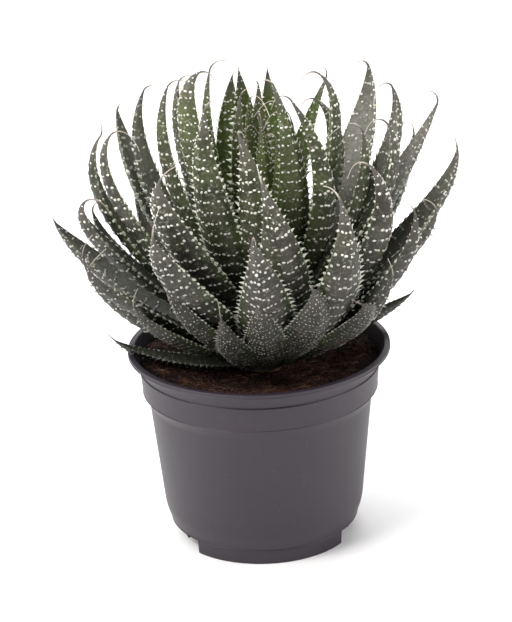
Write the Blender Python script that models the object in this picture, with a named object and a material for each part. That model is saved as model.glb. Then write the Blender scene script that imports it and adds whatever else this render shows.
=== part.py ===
"""Potted lace aloe: a nursery pot with its soil, a short stem and a rosette of keeled leaves.

Metres, +Z up. The origin is on the resting plane, on the pot's axis.
The leaf table is in millimetres and degrees; azimuth 0 points along +X and 90 along +Y.
"""
import math
from typing import NamedTuple

import bmesh
import bpy
from mathutils import Vector

MM = 0.001
GAP = 0.3 * MM

# Pot
POT_HEIGHT = 91.0 * MM
RIM_RADIUS = 60.0 * MM
RIM_INNER_RADIUS = 57.2 * MM
FLANGE_DEPTH = 1.9 * MM
COLLAR_TOP = 82.3 * MM
COLLAR_TOP_RADIUS = 54.9 * MM
COLLAR_LEDGE = 0.5 * MM
COLLAR_BOTTOM = 71.0 * MM
COLLAR_BOTTOM_RADIUS = 53.9 * MM
WALL_TOP = 66.5 * MM
WALL_TOP_RADIUS = 51.2 * MM
HEEL_HEIGHT = 14.5 * MM
HEEL_RADIUS = 46.0 * MM
WALL_BOTTOM_RADIUS = 43.6 * MM
WALL = 1.2 * MM
FOOT_HEIGHT = 6.8 * MM
FOOT_TOP_RADIUS = 43.0 * MM
FOOT_RADIUS = 42.6 * MM
FOOT_WIDTH = 1.8 * MM
PLATE_THICKNESS = 1.4 * MM
POT_SIDES = 72

# Drainage
NOTCH_AZIMUTHS = (183.5, 4.5)
NOTCH_SPAN = 80.0
NOTCH_HEIGHT = 6.5 * MM
FIN_OFFSETS = (-26.0, 0.0, 26.0)
FIN_THICKNESS = 1.2 * MM
FIN_REACH = 4.0 * MM
FIN_DROP = 3.4 * MM
FIN_TIP = 0.8 * MM
DRAIN_HOLE_RADIUS = 4.0 * MM
DRAIN_RING_RADIUS = 28.0 * MM
DRAIN_HOLES = 6
DRAIN_HOLE_SIDES = 12

# Soil
SOIL_MIDDLE = 79.0 * MM
SOIL_BANK = 6.3 * MM
SOIL_BANK_FROM = 0.40
SOIL_SIDES = 48
SOIL_RINGS = 8
SOIL_UNEVENNESS = 0.8 * MM

# Stem
STEM_RADIUS = 7.0 * MM
STEM_TOP_RADIUS = 3.2 * MM
STEM_FOOT = 66.0 * MM
STEM_SHOULDER = 83.0 * MM
STEM_TOP = 115.0 * MM
STEM_DOME = 1.5 * MM
STEM_SIDES = 16
CROWN_OFFSET = 3.0 * MM


class Leaf(NamedTuple):
    """One row of the rosette: where the leaf roots and ends, and how it bends."""

    azimuth: float
    reach: float
    top: float
    root: float
    width: float
    bow: float
    awn: float = 17.0
    curl: float = 120.0
    lead: float = 0.2
    sweep: float = 0.0


# The rosette, tier by tier from the growing point outwards. Each row gives the compass
# direction, the tip's distance from the axis and its height, the height of the root on
# the stem, the greatest width and the bow of the spine. Where they differ from the rule,
# a row also gives the awn's length and its curl, how far past its middle the spine bends
# most, as a share of its length, and how far it sweeps sideways.
TIERS = {
    "heart": (
        Leaf(-152, 8, 209, 112, 15, 3, 12, 100),
        Leaf(83, 6, 211, 113, 13, 2, 14, 120),
        Leaf(-55, 13, 215, 110, 21, 11, 14, 120, lead=0.0, sweep=4),
        Leaf(174, 20, 220, 107, 19, 5, 18, lead=0.15, sweep=1),
        Leaf(-144, 30, 224, 107, 21, 9, 16, lead=0.45, sweep=-3),
    ),
    "inner": (
        Leaf(79, 28, 211, 108, 18, 5, 5, 20),
        Leaf(103, 33, 210, 108, 20, 6, 5, 20, sweep=-2),
        Leaf(0, 27, 217, 107, 18, 11, 20, 150, lead=0.35, sweep=1),
        Leaf(-40, 19, 209, 104, 19, 18, 16, 120, lead=0.1, sweep=6),
        Leaf(166, 35, 213, 104, 18, 7, lead=0.25),
        Leaf(29, 30, 201, 103, 18, 12, 16, lead=0.35, sweep=-6),
        Leaf(-162, 40, 217, 103, 18, 11, lead=0.25, sweep=-1),
        Leaf(-126, 38, 211, 101, 23, 10, 14, 100),
        Leaf(-104, 35, 200, 101, 23, 9, 10, 140, lead=0.15, sweep=7),
        Leaf(105, 42, 205, 103, 22, 6, 8, 60, lead=0.25, sweep=2),
        Leaf(-8, 46, 192, 98, 23, 9, 18, 130, lead=0.15),
    ),
    "middle": (
        Leaf(37, 64, 209, 98, 27, 9, 16, 130, lead=0.25, sweep=-1),
        Leaf(152, 57, 205, 98, 18, 15, 18, 130, lead=0.25, sweep=4),
        Leaf(154, 70, 195, 96, 24, 10, 8, 60, sweep=-1),
        Leaf(55, 56, 202, 100, 17, 3, 20, lead=0.05, sweep=7),
        Leaf(17, 63, 205, 96, 21, 13, 16, 150, lead=0.3),
        Leaf(-4, 56, 195, 95, 20, 12, 16, 140, lead=0.35),
        Leaf(-164, 66, 198, 91, 18, 12, 16, lead=0.4, sweep=-1),
        Leaf(-178, 69, 193, 90, 18, 16, 14, -60, lead=0.35),
        Leaf(84, 60, 190, 96, 22, 9),
        Leaf(122, 62, 188, 95, 22, 9),
        Leaf(-89, 58, 185, 98, 27, 15, 12, 60, lead=0.15, sweep=7),
        Leaf(-130, 66, 186, 96, 25, 5, 14, 60, lead=0.4, sweep=-2),
        Leaf(-38, 60, 185, 93, 24, 16, 18, 130, lead=0.3, sweep=5),
        Leaf(-93, 74, 166, 86, 25, 7, 10, 200, lead=0.25, sweep=3),
        Leaf(-63, 73, 179, 90, 27, 16, 16, 100, lead=0.15, sweep=4),
        Leaf(24, 90, 191, 91, 23, 7, 24, 150, lead=0.05, sweep=4),
    ),
    "outer": (
        Leaf(-127, 76, 164, 89, 26, 4, 14, 50, lead=0.35),
        Leaf(-171, 78, 166, 90, 21, 8, 16, 130, lead=0.45, sweep=-4),
        Leaf(11, 91, 175, 90, 22, 10, 12, 40, lead=0.3, sweep=1),
        Leaf(-27, 74, 163, 85, 21, 10, 8, 60, lead=0.3, sweep=1),
        Leaf(33, 86, 174, 90, 19, 11, 12, 60),
        Leaf(-9, 78, 156, 85, 19, 4, 10, 90, lead=0.35, sweep=2),
        Leaf(58, 77, 158, 88, 21, 10),
        Leaf(84, 75, 150, 87, 22, 10),
        Leaf(110, 77, 158, 88, 21, 10),
        Leaf(137, 80, 150, 87, 21, 10),
        Leaf(157, 84, 146, 87, 20, 10),
        Leaf(-167, 81, 142, 84, 19, 9, 12, 60),
        Leaf(-155, 83, 143, 84, 19, 3, 12, 60, lead=0.45, sweep=-2),
        Leaf(-40, 72, 138, 83, 21, 5, 9, 60),
        Leaf(175, 93, 150, 85, 24, 5, 5, 20, lead=0.25, sweep=-2),
    ),
    "skirt": (
        Leaf(-93, 62, 135, 82, 20, 5, 8, 60, lead=0.25, sweep=2),
        Leaf(-72, 67, 140, 82, 24, 4, 10, 180, lead=0.35, sweep=4),
        Leaf(-110, 55, 124, 83, 19, 6, 9, 50, sweep=1),
        Leaf(-130, 65, 140, 84, 18, 5, 14, 60, sweep=1),
        Leaf(-52, 68, 129, 82, 20, 3, 9, 60, lead=0.45, sweep=6),
        Leaf(-146, 68, 125, 83, 19, 3, 10, 60, lead=0.25, sweep=-1),
        Leaf(13, 70, 107, 83, 14, 3, 5, 20, sweep=3),
        Leaf(64, 66, 118, 83, 18, 6, 9, 60),
        Leaf(118, 66, 116, 83, 18, 6, 9, 60),
        Leaf(-173, 69, 99, 82, 13, 4, 5, 20),
    ),
}

# Outline and section of a leaf: share of the way to the tip, half-width as a share of
# the widest, and depth of the keel as a share of the half-width there.
OUTLINE = (
    (0.0, 0.45, 0.40),
    (0.13, 0.78, 0.42),
    (0.30, 1.00, 0.50),
    (0.50, 0.88, 0.60),
    (0.70, 0.60, 0.72),
    (0.86, 0.30, 0.85),
    (1.0, 0.085, 0.95),
)
HOLLOW = 0.26
CHEEK_OUT = 0.56
CHEEK_DOWN = 0.66
ROOT_DEPTH = 1.0 * MM
AWN_RADIUS = 0.5 * MM
AWN_END_RADIUS = 0.2 * MM
AWN_SIDES = 6

# An awn's steps: share of its length, and share of its curl taken before the step.
AWN_COURSE = ((0.16, 0.24), (0.18, 0.34), (0.30, 0.26), (0.36, 0.16))

# How far a leaf's operand stands off the leaf, and the most a sharp corner adds to it.
SWELL = 0.4 * MM
SHARPEST = 3.0


def clear_scene() -> None:
    """Remove every object that the file opens with."""
    for obj in list(bpy.data.objects):
        bpy.data.objects.remove(obj, do_unlink=True)


def material(name: str, colour: tuple, roughness: float, metallic: float = 0.0) -> bpy.types.Material:
    """Make a Principled material.

    Args:
        name: material name.
        colour: linear red, green, blue.
        roughness: surface roughness.
        metallic: metallic share.

    Returns:
        The material.
    """
    made = bpy.data.materials.new(name)
    made.use_nodes = True
    shader = made.node_tree.nodes["Principled BSDF"]
    shader.inputs["Base Color"].default_value = (*colour, 1.0)
    shader.inputs["Roughness"].default_value = roughness
    shader.inputs["Metallic"].default_value = metallic
    return made


def new_object(name: str, bm: bmesh.types.BMesh, finish: bpy.types.Material) -> bpy.types.Object:
    """Turn a bmesh into a linked object with one material.

    Args:
        name: object name.
        bm: the mesh data, freed here.
        finish: material for every face.

    Returns:
        The new object.
    """
    mesh = bpy.data.meshes.new(name)
    bm.to_mesh(mesh)
    bm.free()
    mesh.materials.append(finish)
    obj = bpy.data.objects.new(name, mesh)
    bpy.context.scene.collection.objects.link(obj)
    return obj


def shade_round(obj: bpy.types.Object, angle: float = 35.0) -> None:
    """Shade an object smooth, with edges sharper than the angle left sharp."""
    obj.data.shade_smooth()
    obj.data.set_sharp_from_angle(angle=math.radians(angle))


def polar(radius: float, azimuth: float, height: float) -> Vector:
    """Point at a radius and an azimuth in radians, at a height."""
    return Vector((radius * math.cos(azimuth), radius * math.sin(azimuth), height))


def turned(profile: list, sides: int) -> bmesh.types.BMesh:
    """Turn a profile that starts and ends on the axis into a closed body.

    Args:
        profile: (radius, height) points, from the axis round the outside and back.
        sides: number of steps round the axis.

    Returns:
        The closed mesh.
    """
    bm = bmesh.new()
    first = bm.verts.new((0.0, 0.0, profile[0][1]))
    last = bm.verts.new((0.0, 0.0, profile[-1][1]))
    rings = []
    for radius, height in profile[1:-1]:
        ring = [bm.verts.new(polar(radius, 2 * math.pi * i / sides, height)) for i in range(sides)]
        rings.append(ring)
    for i in range(sides):
        j = (i + 1) % sides
        bm.faces.new((first, rings[0][i], rings[0][j]))
        for near, far in zip(rings, rings[1:]):
            bm.faces.new((near[i], far[i], far[j], near[j]))
        bm.faces.new((last, rings[-1][j], rings[-1][i]))
    bmesh.ops.recalc_face_normals(bm, faces=bm.faces)
    return bm


def evaluated_bmesh(obj: bpy.types.Object) -> bmesh.types.BMesh:
    """Mesh of an object with its modifiers applied."""
    bpy.context.view_layer.update()
    depsgraph = bpy.context.evaluated_depsgraph_get()
    bm = bmesh.new()
    bm.from_object(obj, depsgraph)
    return bm


def boolean(obj: bpy.types.Object, cutters: list, operation: str) -> None:
    """Apply one exact Boolean with several operands, and remove the operands.

    Args:
        obj: the object that changes.
        cutters: the other operands.
        operation: DIFFERENCE or UNION.
    """
    group = bpy.data.collections.new("operands")
    for cutter in cutters:
        group.objects.link(cutter)
    cut = obj.modifiers.new("cut", "BOOLEAN")
    cut.operation = operation
    cut.operand_type = "COLLECTION"
    cut.collection = group
    bm = evaluated_bmesh(obj)
    obj.modifiers.remove(cut)
    bmesh.ops.triangulate(bm, faces=bm.faces)
    bm.to_mesh(obj.data)
    bm.free()
    for cutter in cutters:
        bpy.data.objects.remove(cutter, do_unlink=True)
    bpy.data.collections.remove(group)


def pot_inner_radius(height: float) -> float:
    """Radius of the pot's inner wall at a height between the plate and the rim."""
    stations = (
        (FOOT_HEIGHT, WALL_BOTTOM_RADIUS - WALL),
        (HEEL_HEIGHT, HEEL_RADIUS - WALL),
        (WALL_TOP, WALL_TOP_RADIUS - WALL),
        (COLLAR_BOTTOM, COLLAR_BOTTOM_RADIUS - WALL),
        (COLLAR_TOP, COLLAR_TOP_RADIUS - COLLAR_LEDGE - WALL),
        (POT_HEIGHT, RIM_INNER_RADIUS),
    )
    for (low, near), (high, far) in zip(stations, stations[1:]):
        if height <= high:
            return near + (far - near) * (height - low) / (high - low)
    return RIM_INNER_RADIUS


def drainage_fin(azimuth: float, finish: bpy.types.Material) -> bpy.types.Object:
    """Small pointed fin that hangs under the plate in a notch of the foot ring.

    Args:
        azimuth: azimuth in radians.
        finish: material.

    Returns:
        The closed fin.
    """
    outer = FOOT_TOP_RADIUS - GAP
    inner = outer - FIN_REACH
    middle = (inner + outer) / 2
    half = FIN_THICKNESS / 2
    levels = (
        (inner, outer, FOOT_HEIGHT + PLATE_THICKNESS / 2),
        (inner, outer, FOOT_HEIGHT - GAP),
        (middle - FIN_TIP / 2, middle + FIN_TIP / 2, FOOT_HEIGHT - FIN_DROP),
    )
    bm = bmesh.new()
    loops = []
    for near, far, height in levels:
        corners = ((near, -half), (far, -half), (far, half), (near, half))
        loops.append([bm.verts.new((x, y, height)) for x, y in corners])
    for upper, lower in zip(loops, loops[1:]):
        for i in range(4):
            j = (i + 1) % 4
            bm.faces.new((upper[i], upper[j], lower[j], lower[i]))
    bm.faces.new(loops[0])
    bm.faces.new(loops[-1])
    bmesh.ops.recalc_face_normals(bm, faces=bm.faces)
    fin = new_object("operand", bm, finish)
    fin.rotation_euler.z = azimuth
    return fin


def sector(inner: float, outer: float, low: float, high: float, middle: float, span: float,
           finish: bpy.types.Material) -> bpy.types.Object:
    """Block cut from a ring, between two radii, two heights and two azimuths.

    Args:
        inner: inner radius.
        outer: outer radius.
        low: lower height.
        high: upper height.
        middle: middle azimuth in radians.
        span: angle covered in radians.
        finish: material.

    Returns:
        The closed block.
    """
    steps = 8
    bm = bmesh.new()
    loops = []
    for i in range(steps + 1):
        azimuth = middle + span * (i / steps - 0.5)
        corners = ((inner, low), (outer, low), (outer, high), (inner, high))
        loops.append([bm.verts.new(polar(radius, azimuth, height)) for radius, height in corners])
    for near, far in zip(loops, loops[1:]):
        for i in range(4):
            j = (i + 1) % 4
            bm.faces.new((near[i], near[j], far[j], far[i]))
    bm.faces.new(loops[0])
    bm.faces.new(loops[-1])
    bmesh.ops.recalc_face_normals(bm, faces=bm.faces)
    return new_object("operand", bm, finish)


def build_pot(finish: bpy.types.Material) -> bpy.types.Object:
    """Thin-walled pot with a rolled rim, a collar, a notched foot ring and drain holes."""
    edge = 0.5 * MM
    profile = [
        (0.0, FOOT_HEIGHT),
        (FOOT_RADIUS - FOOT_WIDTH, FOOT_HEIGHT),
        (FOOT_RADIUS - FOOT_WIDTH, 0.0),
        (FOOT_RADIUS, 0.0),
        (FOOT_TOP_RADIUS, FOOT_HEIGHT),
        (WALL_BOTTOM_RADIUS, FOOT_HEIGHT + edge),
        (HEEL_RADIUS, HEEL_HEIGHT),
        (WALL_TOP_RADIUS, WALL_TOP),
        (COLLAR_BOTTOM_RADIUS, COLLAR_BOTTOM),
        (COLLAR_TOP_RADIUS, COLLAR_TOP - edge),
        (COLLAR_TOP_RADIUS - COLLAR_LEDGE, COLLAR_TOP),
        (RIM_INNER_RADIUS - edge, POT_HEIGHT - FLANGE_DEPTH - edge),
        (RIM_RADIUS - edge, POT_HEIGHT - FLANGE_DEPTH),
        (RIM_RADIUS, POT_HEIGHT - FLANGE_DEPTH + edge),
        (RIM_RADIUS, POT_HEIGHT - edge),
        (RIM_RADIUS - edge, POT_HEIGHT),
        (RIM_INNER_RADIUS + edge, POT_HEIGHT),
        (RIM_INNER_RADIUS, POT_HEIGHT - edge),
        (COLLAR_TOP_RADIUS - COLLAR_LEDGE - WALL, COLLAR_TOP),
        (COLLAR_BOTTOM_RADIUS - WALL, COLLAR_BOTTOM),
        (WALL_TOP_RADIUS - WALL, WALL_TOP),
        (HEEL_RADIUS - WALL, HEEL_HEIGHT),
        (WALL_BOTTOM_RADIUS - WALL, FOOT_HEIGHT + PLATE_THICKNESS),
        (0.0, FOOT_HEIGHT + PLATE_THICKNESS),
    ]
    pot = new_object("pot", turned(profile, POT_SIDES), finish)
    cutters = []
    for azimuth in NOTCH_AZIMUTHS:
        middle = math.radians(azimuth)
        cutters.append(sector(FOOT_RADIUS - 2 * FOOT_WIDTH, FOOT_RADIUS + FOOT_WIDTH, -MM, NOTCH_HEIGHT,
                              middle, math.radians(NOTCH_SPAN), finish))
    for i in range(DRAIN_HOLES):
        azimuth = 2 * math.pi * (i + 0.5) / DRAIN_HOLES
        bm = bmesh.new()
        bmesh.ops.create_cone(bm, cap_ends=True, segments=DRAIN_HOLE_SIDES, radius1=DRAIN_HOLE_RADIUS,
                              radius2=DRAIN_HOLE_RADIUS, depth=4 * PLATE_THICKNESS)
        hole = new_object("operand", bm, finish)
        hole.location = polar(DRAIN_RING_RADIUS, azimuth, FOOT_HEIGHT + PLATE_THICKNESS / 2)
        cutters.append(hole)
    boolean(pot, cutters, "DIFFERENCE")
    fins = []
    for azimuth in NOTCH_AZIMUTHS:
        for offset in FIN_OFFSETS:
            fins.append(drainage_fin(math.radians(azimuth + offset), finish))
    boolean(pot, fins, "UNION")
    shade_round(pot)
    return pot


def soil_height(radius: float, azimuth: float) -> float:
    """Height of the soil's slightly uneven surface, a shallow dish that is banked up at the wall."""
    share = radius / pot_inner_radius(SOIL_MIDDLE + SOIL_BANK)
    ripple = math.sin(3 * azimuth + 0.7) * math.sin(2.6 * share * math.pi)
    ripple += math.sin(5 * azimuth + 2.0) * share
    climb = min(max((share - SOIL_BANK_FROM) / (0.95 - SOIL_BANK_FROM), 0.0), 1.0)
    bank = SOIL_BANK * climb * climb * (3 - 2 * climb)
    return SOIL_MIDDLE + bank + SOIL_UNEVENNESS * 0.5 * ripple * share


def build_soil(finish: bpy.types.Material) -> bpy.types.Object:
    """Soil that fills the pot, with a pocket that the stem stands in."""
    bottom = FOOT_HEIGHT + PLATE_THICKNESS + GAP
    edge = pot_inner_radius(SOIL_MIDDLE + SOIL_BANK - SOIL_UNEVENNESS) - 1.5 * GAP
    walls = [
        (pot_inner_radius(bottom) - 2 * GAP, bottom),
        (pot_inner_radius(HEEL_HEIGHT) - 2 * GAP, HEEL_HEIGHT + GAP),
        (pot_inner_radius(WALL_TOP) - 2 * GAP, WALL_TOP),
        (pot_inner_radius(COLLAR_BOTTOM) - 2 * GAP, COLLAR_BOTTOM + GAP),
        (pot_inner_radius(COLLAR_TOP) - 2 * GAP, COLLAR_TOP + GAP),
    ]
    pocket = STEM_RADIUS + GAP
    bm = bmesh.new()
    steps = [2 * math.pi * i / SOIL_SIDES for i in range(SOIL_SIDES)]
    rings = [[bm.verts.new(polar(radius, a, height)) for a in steps] for radius, height in walls]
    for k in range(SOIL_RINGS + 1):
        radius = edge + (pocket - edge) * k / SOIL_RINGS
        shift = Vector((CROWN_OFFSET * k / SOIL_RINGS, 0, 0))
        rings.append([bm.verts.new(polar(radius, a, soil_height(radius, a)) + shift) for a in steps])
    shift = Vector((CROWN_OFFSET, 0, 0))
    rings.append([bm.verts.new(polar(pocket, a, STEM_FOOT - GAP) + shift) for a in steps])
    for near, far in zip(rings, rings[1:]):
        for i in range(SOIL_SIDES):
            j = (i + 1) % SOIL_SIDES
            bm.faces.new((near[i], near[j], far[j], far[i]))
    bm.faces.new(list(reversed(rings[0])))
    bm.faces.new(rings[-1])
    bmesh.ops.recalc_face_normals(bm, faces=bm.faces)
    soil = new_object("soil", bm, finish)
    shade_round(soil)
    return soil


def stem_radius(height: float) -> float:
    """Radius of the stem at a height above the soil."""
    share = (height - STEM_SHOULDER) / (STEM_TOP - STEM_DOME - STEM_SHOULDER)
    return STEM_RADIUS + (STEM_TOP_RADIUS - STEM_RADIUS) * min(max(share, 0.0), 1.0)


def stem_bmesh(swell: float = 0.0) -> bmesh.types.BMesh:
    """Short tapering stem that the leaves root on, standing off its own skin by the swell."""
    profile = [
        (0.0, STEM_FOOT - swell),
        (STEM_RADIUS + swell, STEM_FOOT - swell),
        (STEM_RADIUS + swell, STEM_SHOULDER),
        (STEM_TOP_RADIUS + swell, STEM_TOP - STEM_DOME),
        (STEM_TOP_RADIUS * 0.6 + swell, STEM_TOP + swell),
        (0.0, STEM_TOP + swell),
    ]
    bm = turned(profile, STEM_SIDES)
    bmesh.ops.translate(bm, vec=(CROWN_OFFSET, 0, 0), verts=bm.verts)
    return bm


def build_stem(finish: bpy.types.Material) -> bpy.types.Object:
    """Stem as an object."""
    stem = new_object("crown_stem", stem_bmesh(), finish)
    shade_round(stem)
    return stem


class Spine:
    """Middle line of a leaf: a quadratic curve that leans out at its azimuth and may sweep sideways."""

    def __init__(self, leaf: Leaf) -> None:
        """Work the curve's three points out from a row of the table."""
        azimuth = math.radians(leaf.azimuth)
        out = Vector((math.cos(azimuth), math.sin(azimuth), 0.0))
        self.level = Vector((-math.sin(azimuth), math.cos(azimuth), 0.0))
        root = Vector((stem_radius(leaf.root * MM) - ROOT_DEPTH, leaf.root * MM))
        tip = Vector((leaf.reach * MM, leaf.top * MM))
        chord = tip - root
        outward = Vector((chord.y, -chord.x)).normalized()
        bend = root + chord * (0.5 + leaf.lead) + outward * (2 * leaf.bow * MM)
        self.points = [Vector((CROWN_OFFSET, 0.0, flat.y)) + out * flat.x for flat in (root, bend, tip)]
        self.points[1] += self.level * (2 * leaf.sweep * MM)

    def place(self, share: float) -> tuple:
        """Point and frame at a share of the way to the tip.

        Args:
            share: 0 at the root and 1 at the tip.

        Returns:
            Position, direction along the leaf, direction to its side, and to its upper face.
        """
        a, b, c = self.points
        position = a * (1 - share) ** 2 + b * (2 * share * (1 - share)) + c * share ** 2
        along = ((b - a) * (1 - share) + (c - b) * share).normalized()
        side = (self.level - along * self.level.dot(along)).normalized()
        return position, along, side, along.cross(side)


def leaf_rings(leaf: Leaf) -> list:
    """Closed sections of one leaf, from its root to the end of its awn.

    Args:
        leaf: row of the table.

    Returns:
        A list of six-point rings.
    """
    spine = Spine(leaf)
    half = leaf.width * MM / 2
    rings = []
    for share, breadth, keel in OUTLINE:
        position, along, side, upper = spine.place(share)
        wide = half * breadth
        deep = wide * keel
        section = (
            (wide, 0.0),
            (0.0, -wide * HOLLOW),
            (-wide, 0.0),
            (-wide * CHEEK_OUT, -deep * CHEEK_DOWN),
            (0.0, -deep),
            (wide * CHEEK_OUT, -deep * CHEEK_DOWN),
        )
        rings.append([position + side * s + upper * n for s, n in section])
    position, along, side, upper = spine.place(1.0)
    travelled = 0.0
    for length, bend in AWN_COURSE:
        turn = math.radians(leaf.curl) * bend
        along, upper = (along * math.cos(turn) + upper * math.sin(turn),
                        upper * math.cos(turn) - along * math.sin(turn))
        position = position + along * (leaf.awn * MM * length)
        travelled += length
        radius = AWN_RADIUS + (AWN_END_RADIUS - AWN_RADIUS) * travelled
        ring = []
        for i in range(AWN_SIDES):
            around = math.radians(30 + 60 * i)
            ring.append(position + side * (radius * math.cos(around)) + upper * (radius * math.sin(around)))
        rings.append(ring)
    return rings


def leaf_bmesh(leaf: Leaf, swell: float = 0.0) -> bmesh.types.BMesh:
    """Closed triangle mesh of one leaf, standing off its own skin by the swell."""
    bm = bmesh.new()
    rings = [[bm.verts.new(point) for point in ring] for ring in leaf_rings(leaf)]
    for near, far in zip(rings, rings[1:]):
        for i in range(AWN_SIDES):
            j = (i + 1) % AWN_SIDES
            bm.faces.new((near[i], near[j], far[i]))
            bm.faces.new((near[j], far[j], far[i]))
    for i in range(2, AWN_SIDES):
        j = (i + 1) % AWN_SIDES
        bm.faces.new((rings[0][1], rings[0][j], rings[0][i]))
        bm.faces.new((rings[-1][1], rings[-1][i], rings[-1][j]))
    if swell:
        bm.normal_update()
        steps = [vert.normal * (swell * min(vert.calc_shell_factor(), SHARPEST)) for vert in bm.verts]
        for vert, step in zip(bm.verts, steps):
            vert.co = vert.co + step
    return bm


def largest_island(bm: bmesh.types.BMesh) -> None:
    """Keep only the island of faces with the greatest volume."""
    waiting = set(bm.verts)
    islands = []
    while waiting:
        stack = [waiting.pop()]
        island = set(stack)
        while stack:
            for edge in stack.pop().link_edges:
                for vert in edge.verts:
                    if vert in waiting:
                        waiting.discard(vert)
                        island.add(vert)
                        stack.append(vert)
        islands.append(island)
    if len(islands) < 2:
        return

    def volume(island: set) -> float:
        total = 0.0
        for face in bm.faces:
            if face.verts[0] in island:
                a, b, c = (vert.co for vert in face.verts[:3])
                total += a.dot(b.cross(c)) / 6
        return abs(total)

    keep = max(islands, key=volume)
    bmesh.ops.delete(bm, geom=[vert for vert in bm.verts if vert not in keep], context="VERTS")


def bounds(points: list) -> tuple:
    """Lowest and highest corners of some points."""
    low = Vector([min(point[i] for point in points) for i in range(3)])
    high = Vector([max(point[i] for point in points) for i in range(3)])
    return low, high


def boxes_meet(a: tuple, b: tuple) -> bool:
    """Whether two boxes, each a pair of corners, overlap."""
    return all(a[0][i] < b[1][i] and b[0][i] < a[1][i] for i in range(3))


def build_leaves(finish: bpy.types.Material) -> list:
    """Leaves from the heart outwards, each rooted on the stem and flattened by those inside it."""
    built = []
    made = []
    for tier, rows in TIERS.items():
        for number, leaf in enumerate(rows, start=1):
            obj = new_object(f"{tier}_leaf_{number:02d}", leaf_bmesh(leaf), finish)
            box = bounds([point for ring in leaf_rings(leaf) for point in ring])
            near = [row for row, other in made if boxes_meet(box, other)]
            cutters = [new_object("operand", leaf_bmesh(row, SWELL), finish) for row in near]
            cutters.append(new_object("operand", stem_bmesh(GAP), finish))
            boolean(obj, cutters, "DIFFERENCE")
            bm = bmesh.new()
            bm.from_mesh(obj.data)
            largest_island(bm)
            bm.to_mesh(obj.data)
            bm.free()
            made.append((leaf, box))
            shade_round(obj)
            built.append(obj)
    return built


def main() -> None:
    """Build the plant and its pot."""
    clear_scene()
    build_pot(material("pot_plastic", (0.052, 0.046, 0.054), 0.48))
    build_soil(material("soil_peat", (0.025, 0.014, 0.010), 0.95))
    build_stem(material("stem_fibre", (0.16, 0.14, 0.05), 0.7))
    build_leaves(material("leaf_skin", (0.072, 0.078, 0.055), 0.5))


main()
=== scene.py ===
"""Potted lace aloe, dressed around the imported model.

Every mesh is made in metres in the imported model's frame: +X to the right, +Y away from
the camera, +Z up, and the origin under the pot on its axis. Lengths written with MM are
millimetres.
"""
import logging
import math
from collections.abc import Sequence
from dataclasses import dataclass
from enum import Enum

import bmesh
import bpy
import numpy as np
from bpy.types import Material, Node, NodeSocket, NodeTree, Object
from mathutils import Matrix, Vector, noise


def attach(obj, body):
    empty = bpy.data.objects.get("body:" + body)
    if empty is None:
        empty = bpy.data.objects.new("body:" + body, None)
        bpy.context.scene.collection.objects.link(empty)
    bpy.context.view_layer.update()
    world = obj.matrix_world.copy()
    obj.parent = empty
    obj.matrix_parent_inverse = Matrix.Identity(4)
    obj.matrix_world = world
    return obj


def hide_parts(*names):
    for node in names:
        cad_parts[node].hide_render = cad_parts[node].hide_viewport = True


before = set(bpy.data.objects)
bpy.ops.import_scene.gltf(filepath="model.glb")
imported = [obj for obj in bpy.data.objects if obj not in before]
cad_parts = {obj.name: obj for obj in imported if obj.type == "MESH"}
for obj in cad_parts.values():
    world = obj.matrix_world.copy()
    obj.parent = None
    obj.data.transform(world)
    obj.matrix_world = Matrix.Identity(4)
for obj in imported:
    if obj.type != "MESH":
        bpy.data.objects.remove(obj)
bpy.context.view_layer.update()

LOG = logging.getLogger("aloe")
MM = 0.001
BODY = "root"
# Painted shade: leaf, spot and tooth colours darken from full at the higher height to the given share at the
# lower one.
LOW_LEAVES = 88.0 * MM
HIGH_LEAVES = 190.0 * MM
LOWEST_PAINTED_SHADE = 0.28
Triple = tuple[float, float, float]
Pose = tuple[Vector, Vector, Vector, Vector]


class Slot(Enum):
    """Material slots."""

    PLASTIC = "pot_plastic"
    PEAT = "soil_peat"
    FIBRE = "stem_fibre"
    SKIN = "leaf_skin"


class Tier(Enum):
    """Tiers of the rosette, from the growing point outwards."""

    YOUNG = "young"
    HEART = "heart"
    INNER = "inner"
    MIDDLE = "middle"
    OUTER = "outer"
    SKIRT = "skirt"


class Litter(Enum):
    """Kinds of loose piece on the soil."""

    CRUMB = "crumb"
    FIBRE = "fibre"


# Node trees


class Wire:
    """A node's output, whose arithmetic adds Math nodes to its graph."""

    def __init__(self, graph: "Graph", socket: NodeSocket) -> None:
        """Take hold of an output."""
        self.graph = graph
        self.socket = socket

    def __add__(self, other: object) -> "Wire":
        """Sum."""
        return self.graph.maths("ADD", self, other)

    def __sub__(self, other: object) -> "Wire":
        """Difference."""
        return self.graph.maths("SUBTRACT", self, other)

    def __rsub__(self, other: object) -> "Wire":
        """Difference from a number."""
        return self.graph.maths("SUBTRACT", other, self)

    def __mul__(self, other: object) -> "Wire":
        """Product."""
        return self.graph.maths("MULTIPLY", self, other)

    def __truediv__(self, other: object) -> "Wire":
        """Quotient."""
        return self.graph.maths("DIVIDE", self, other)


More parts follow.
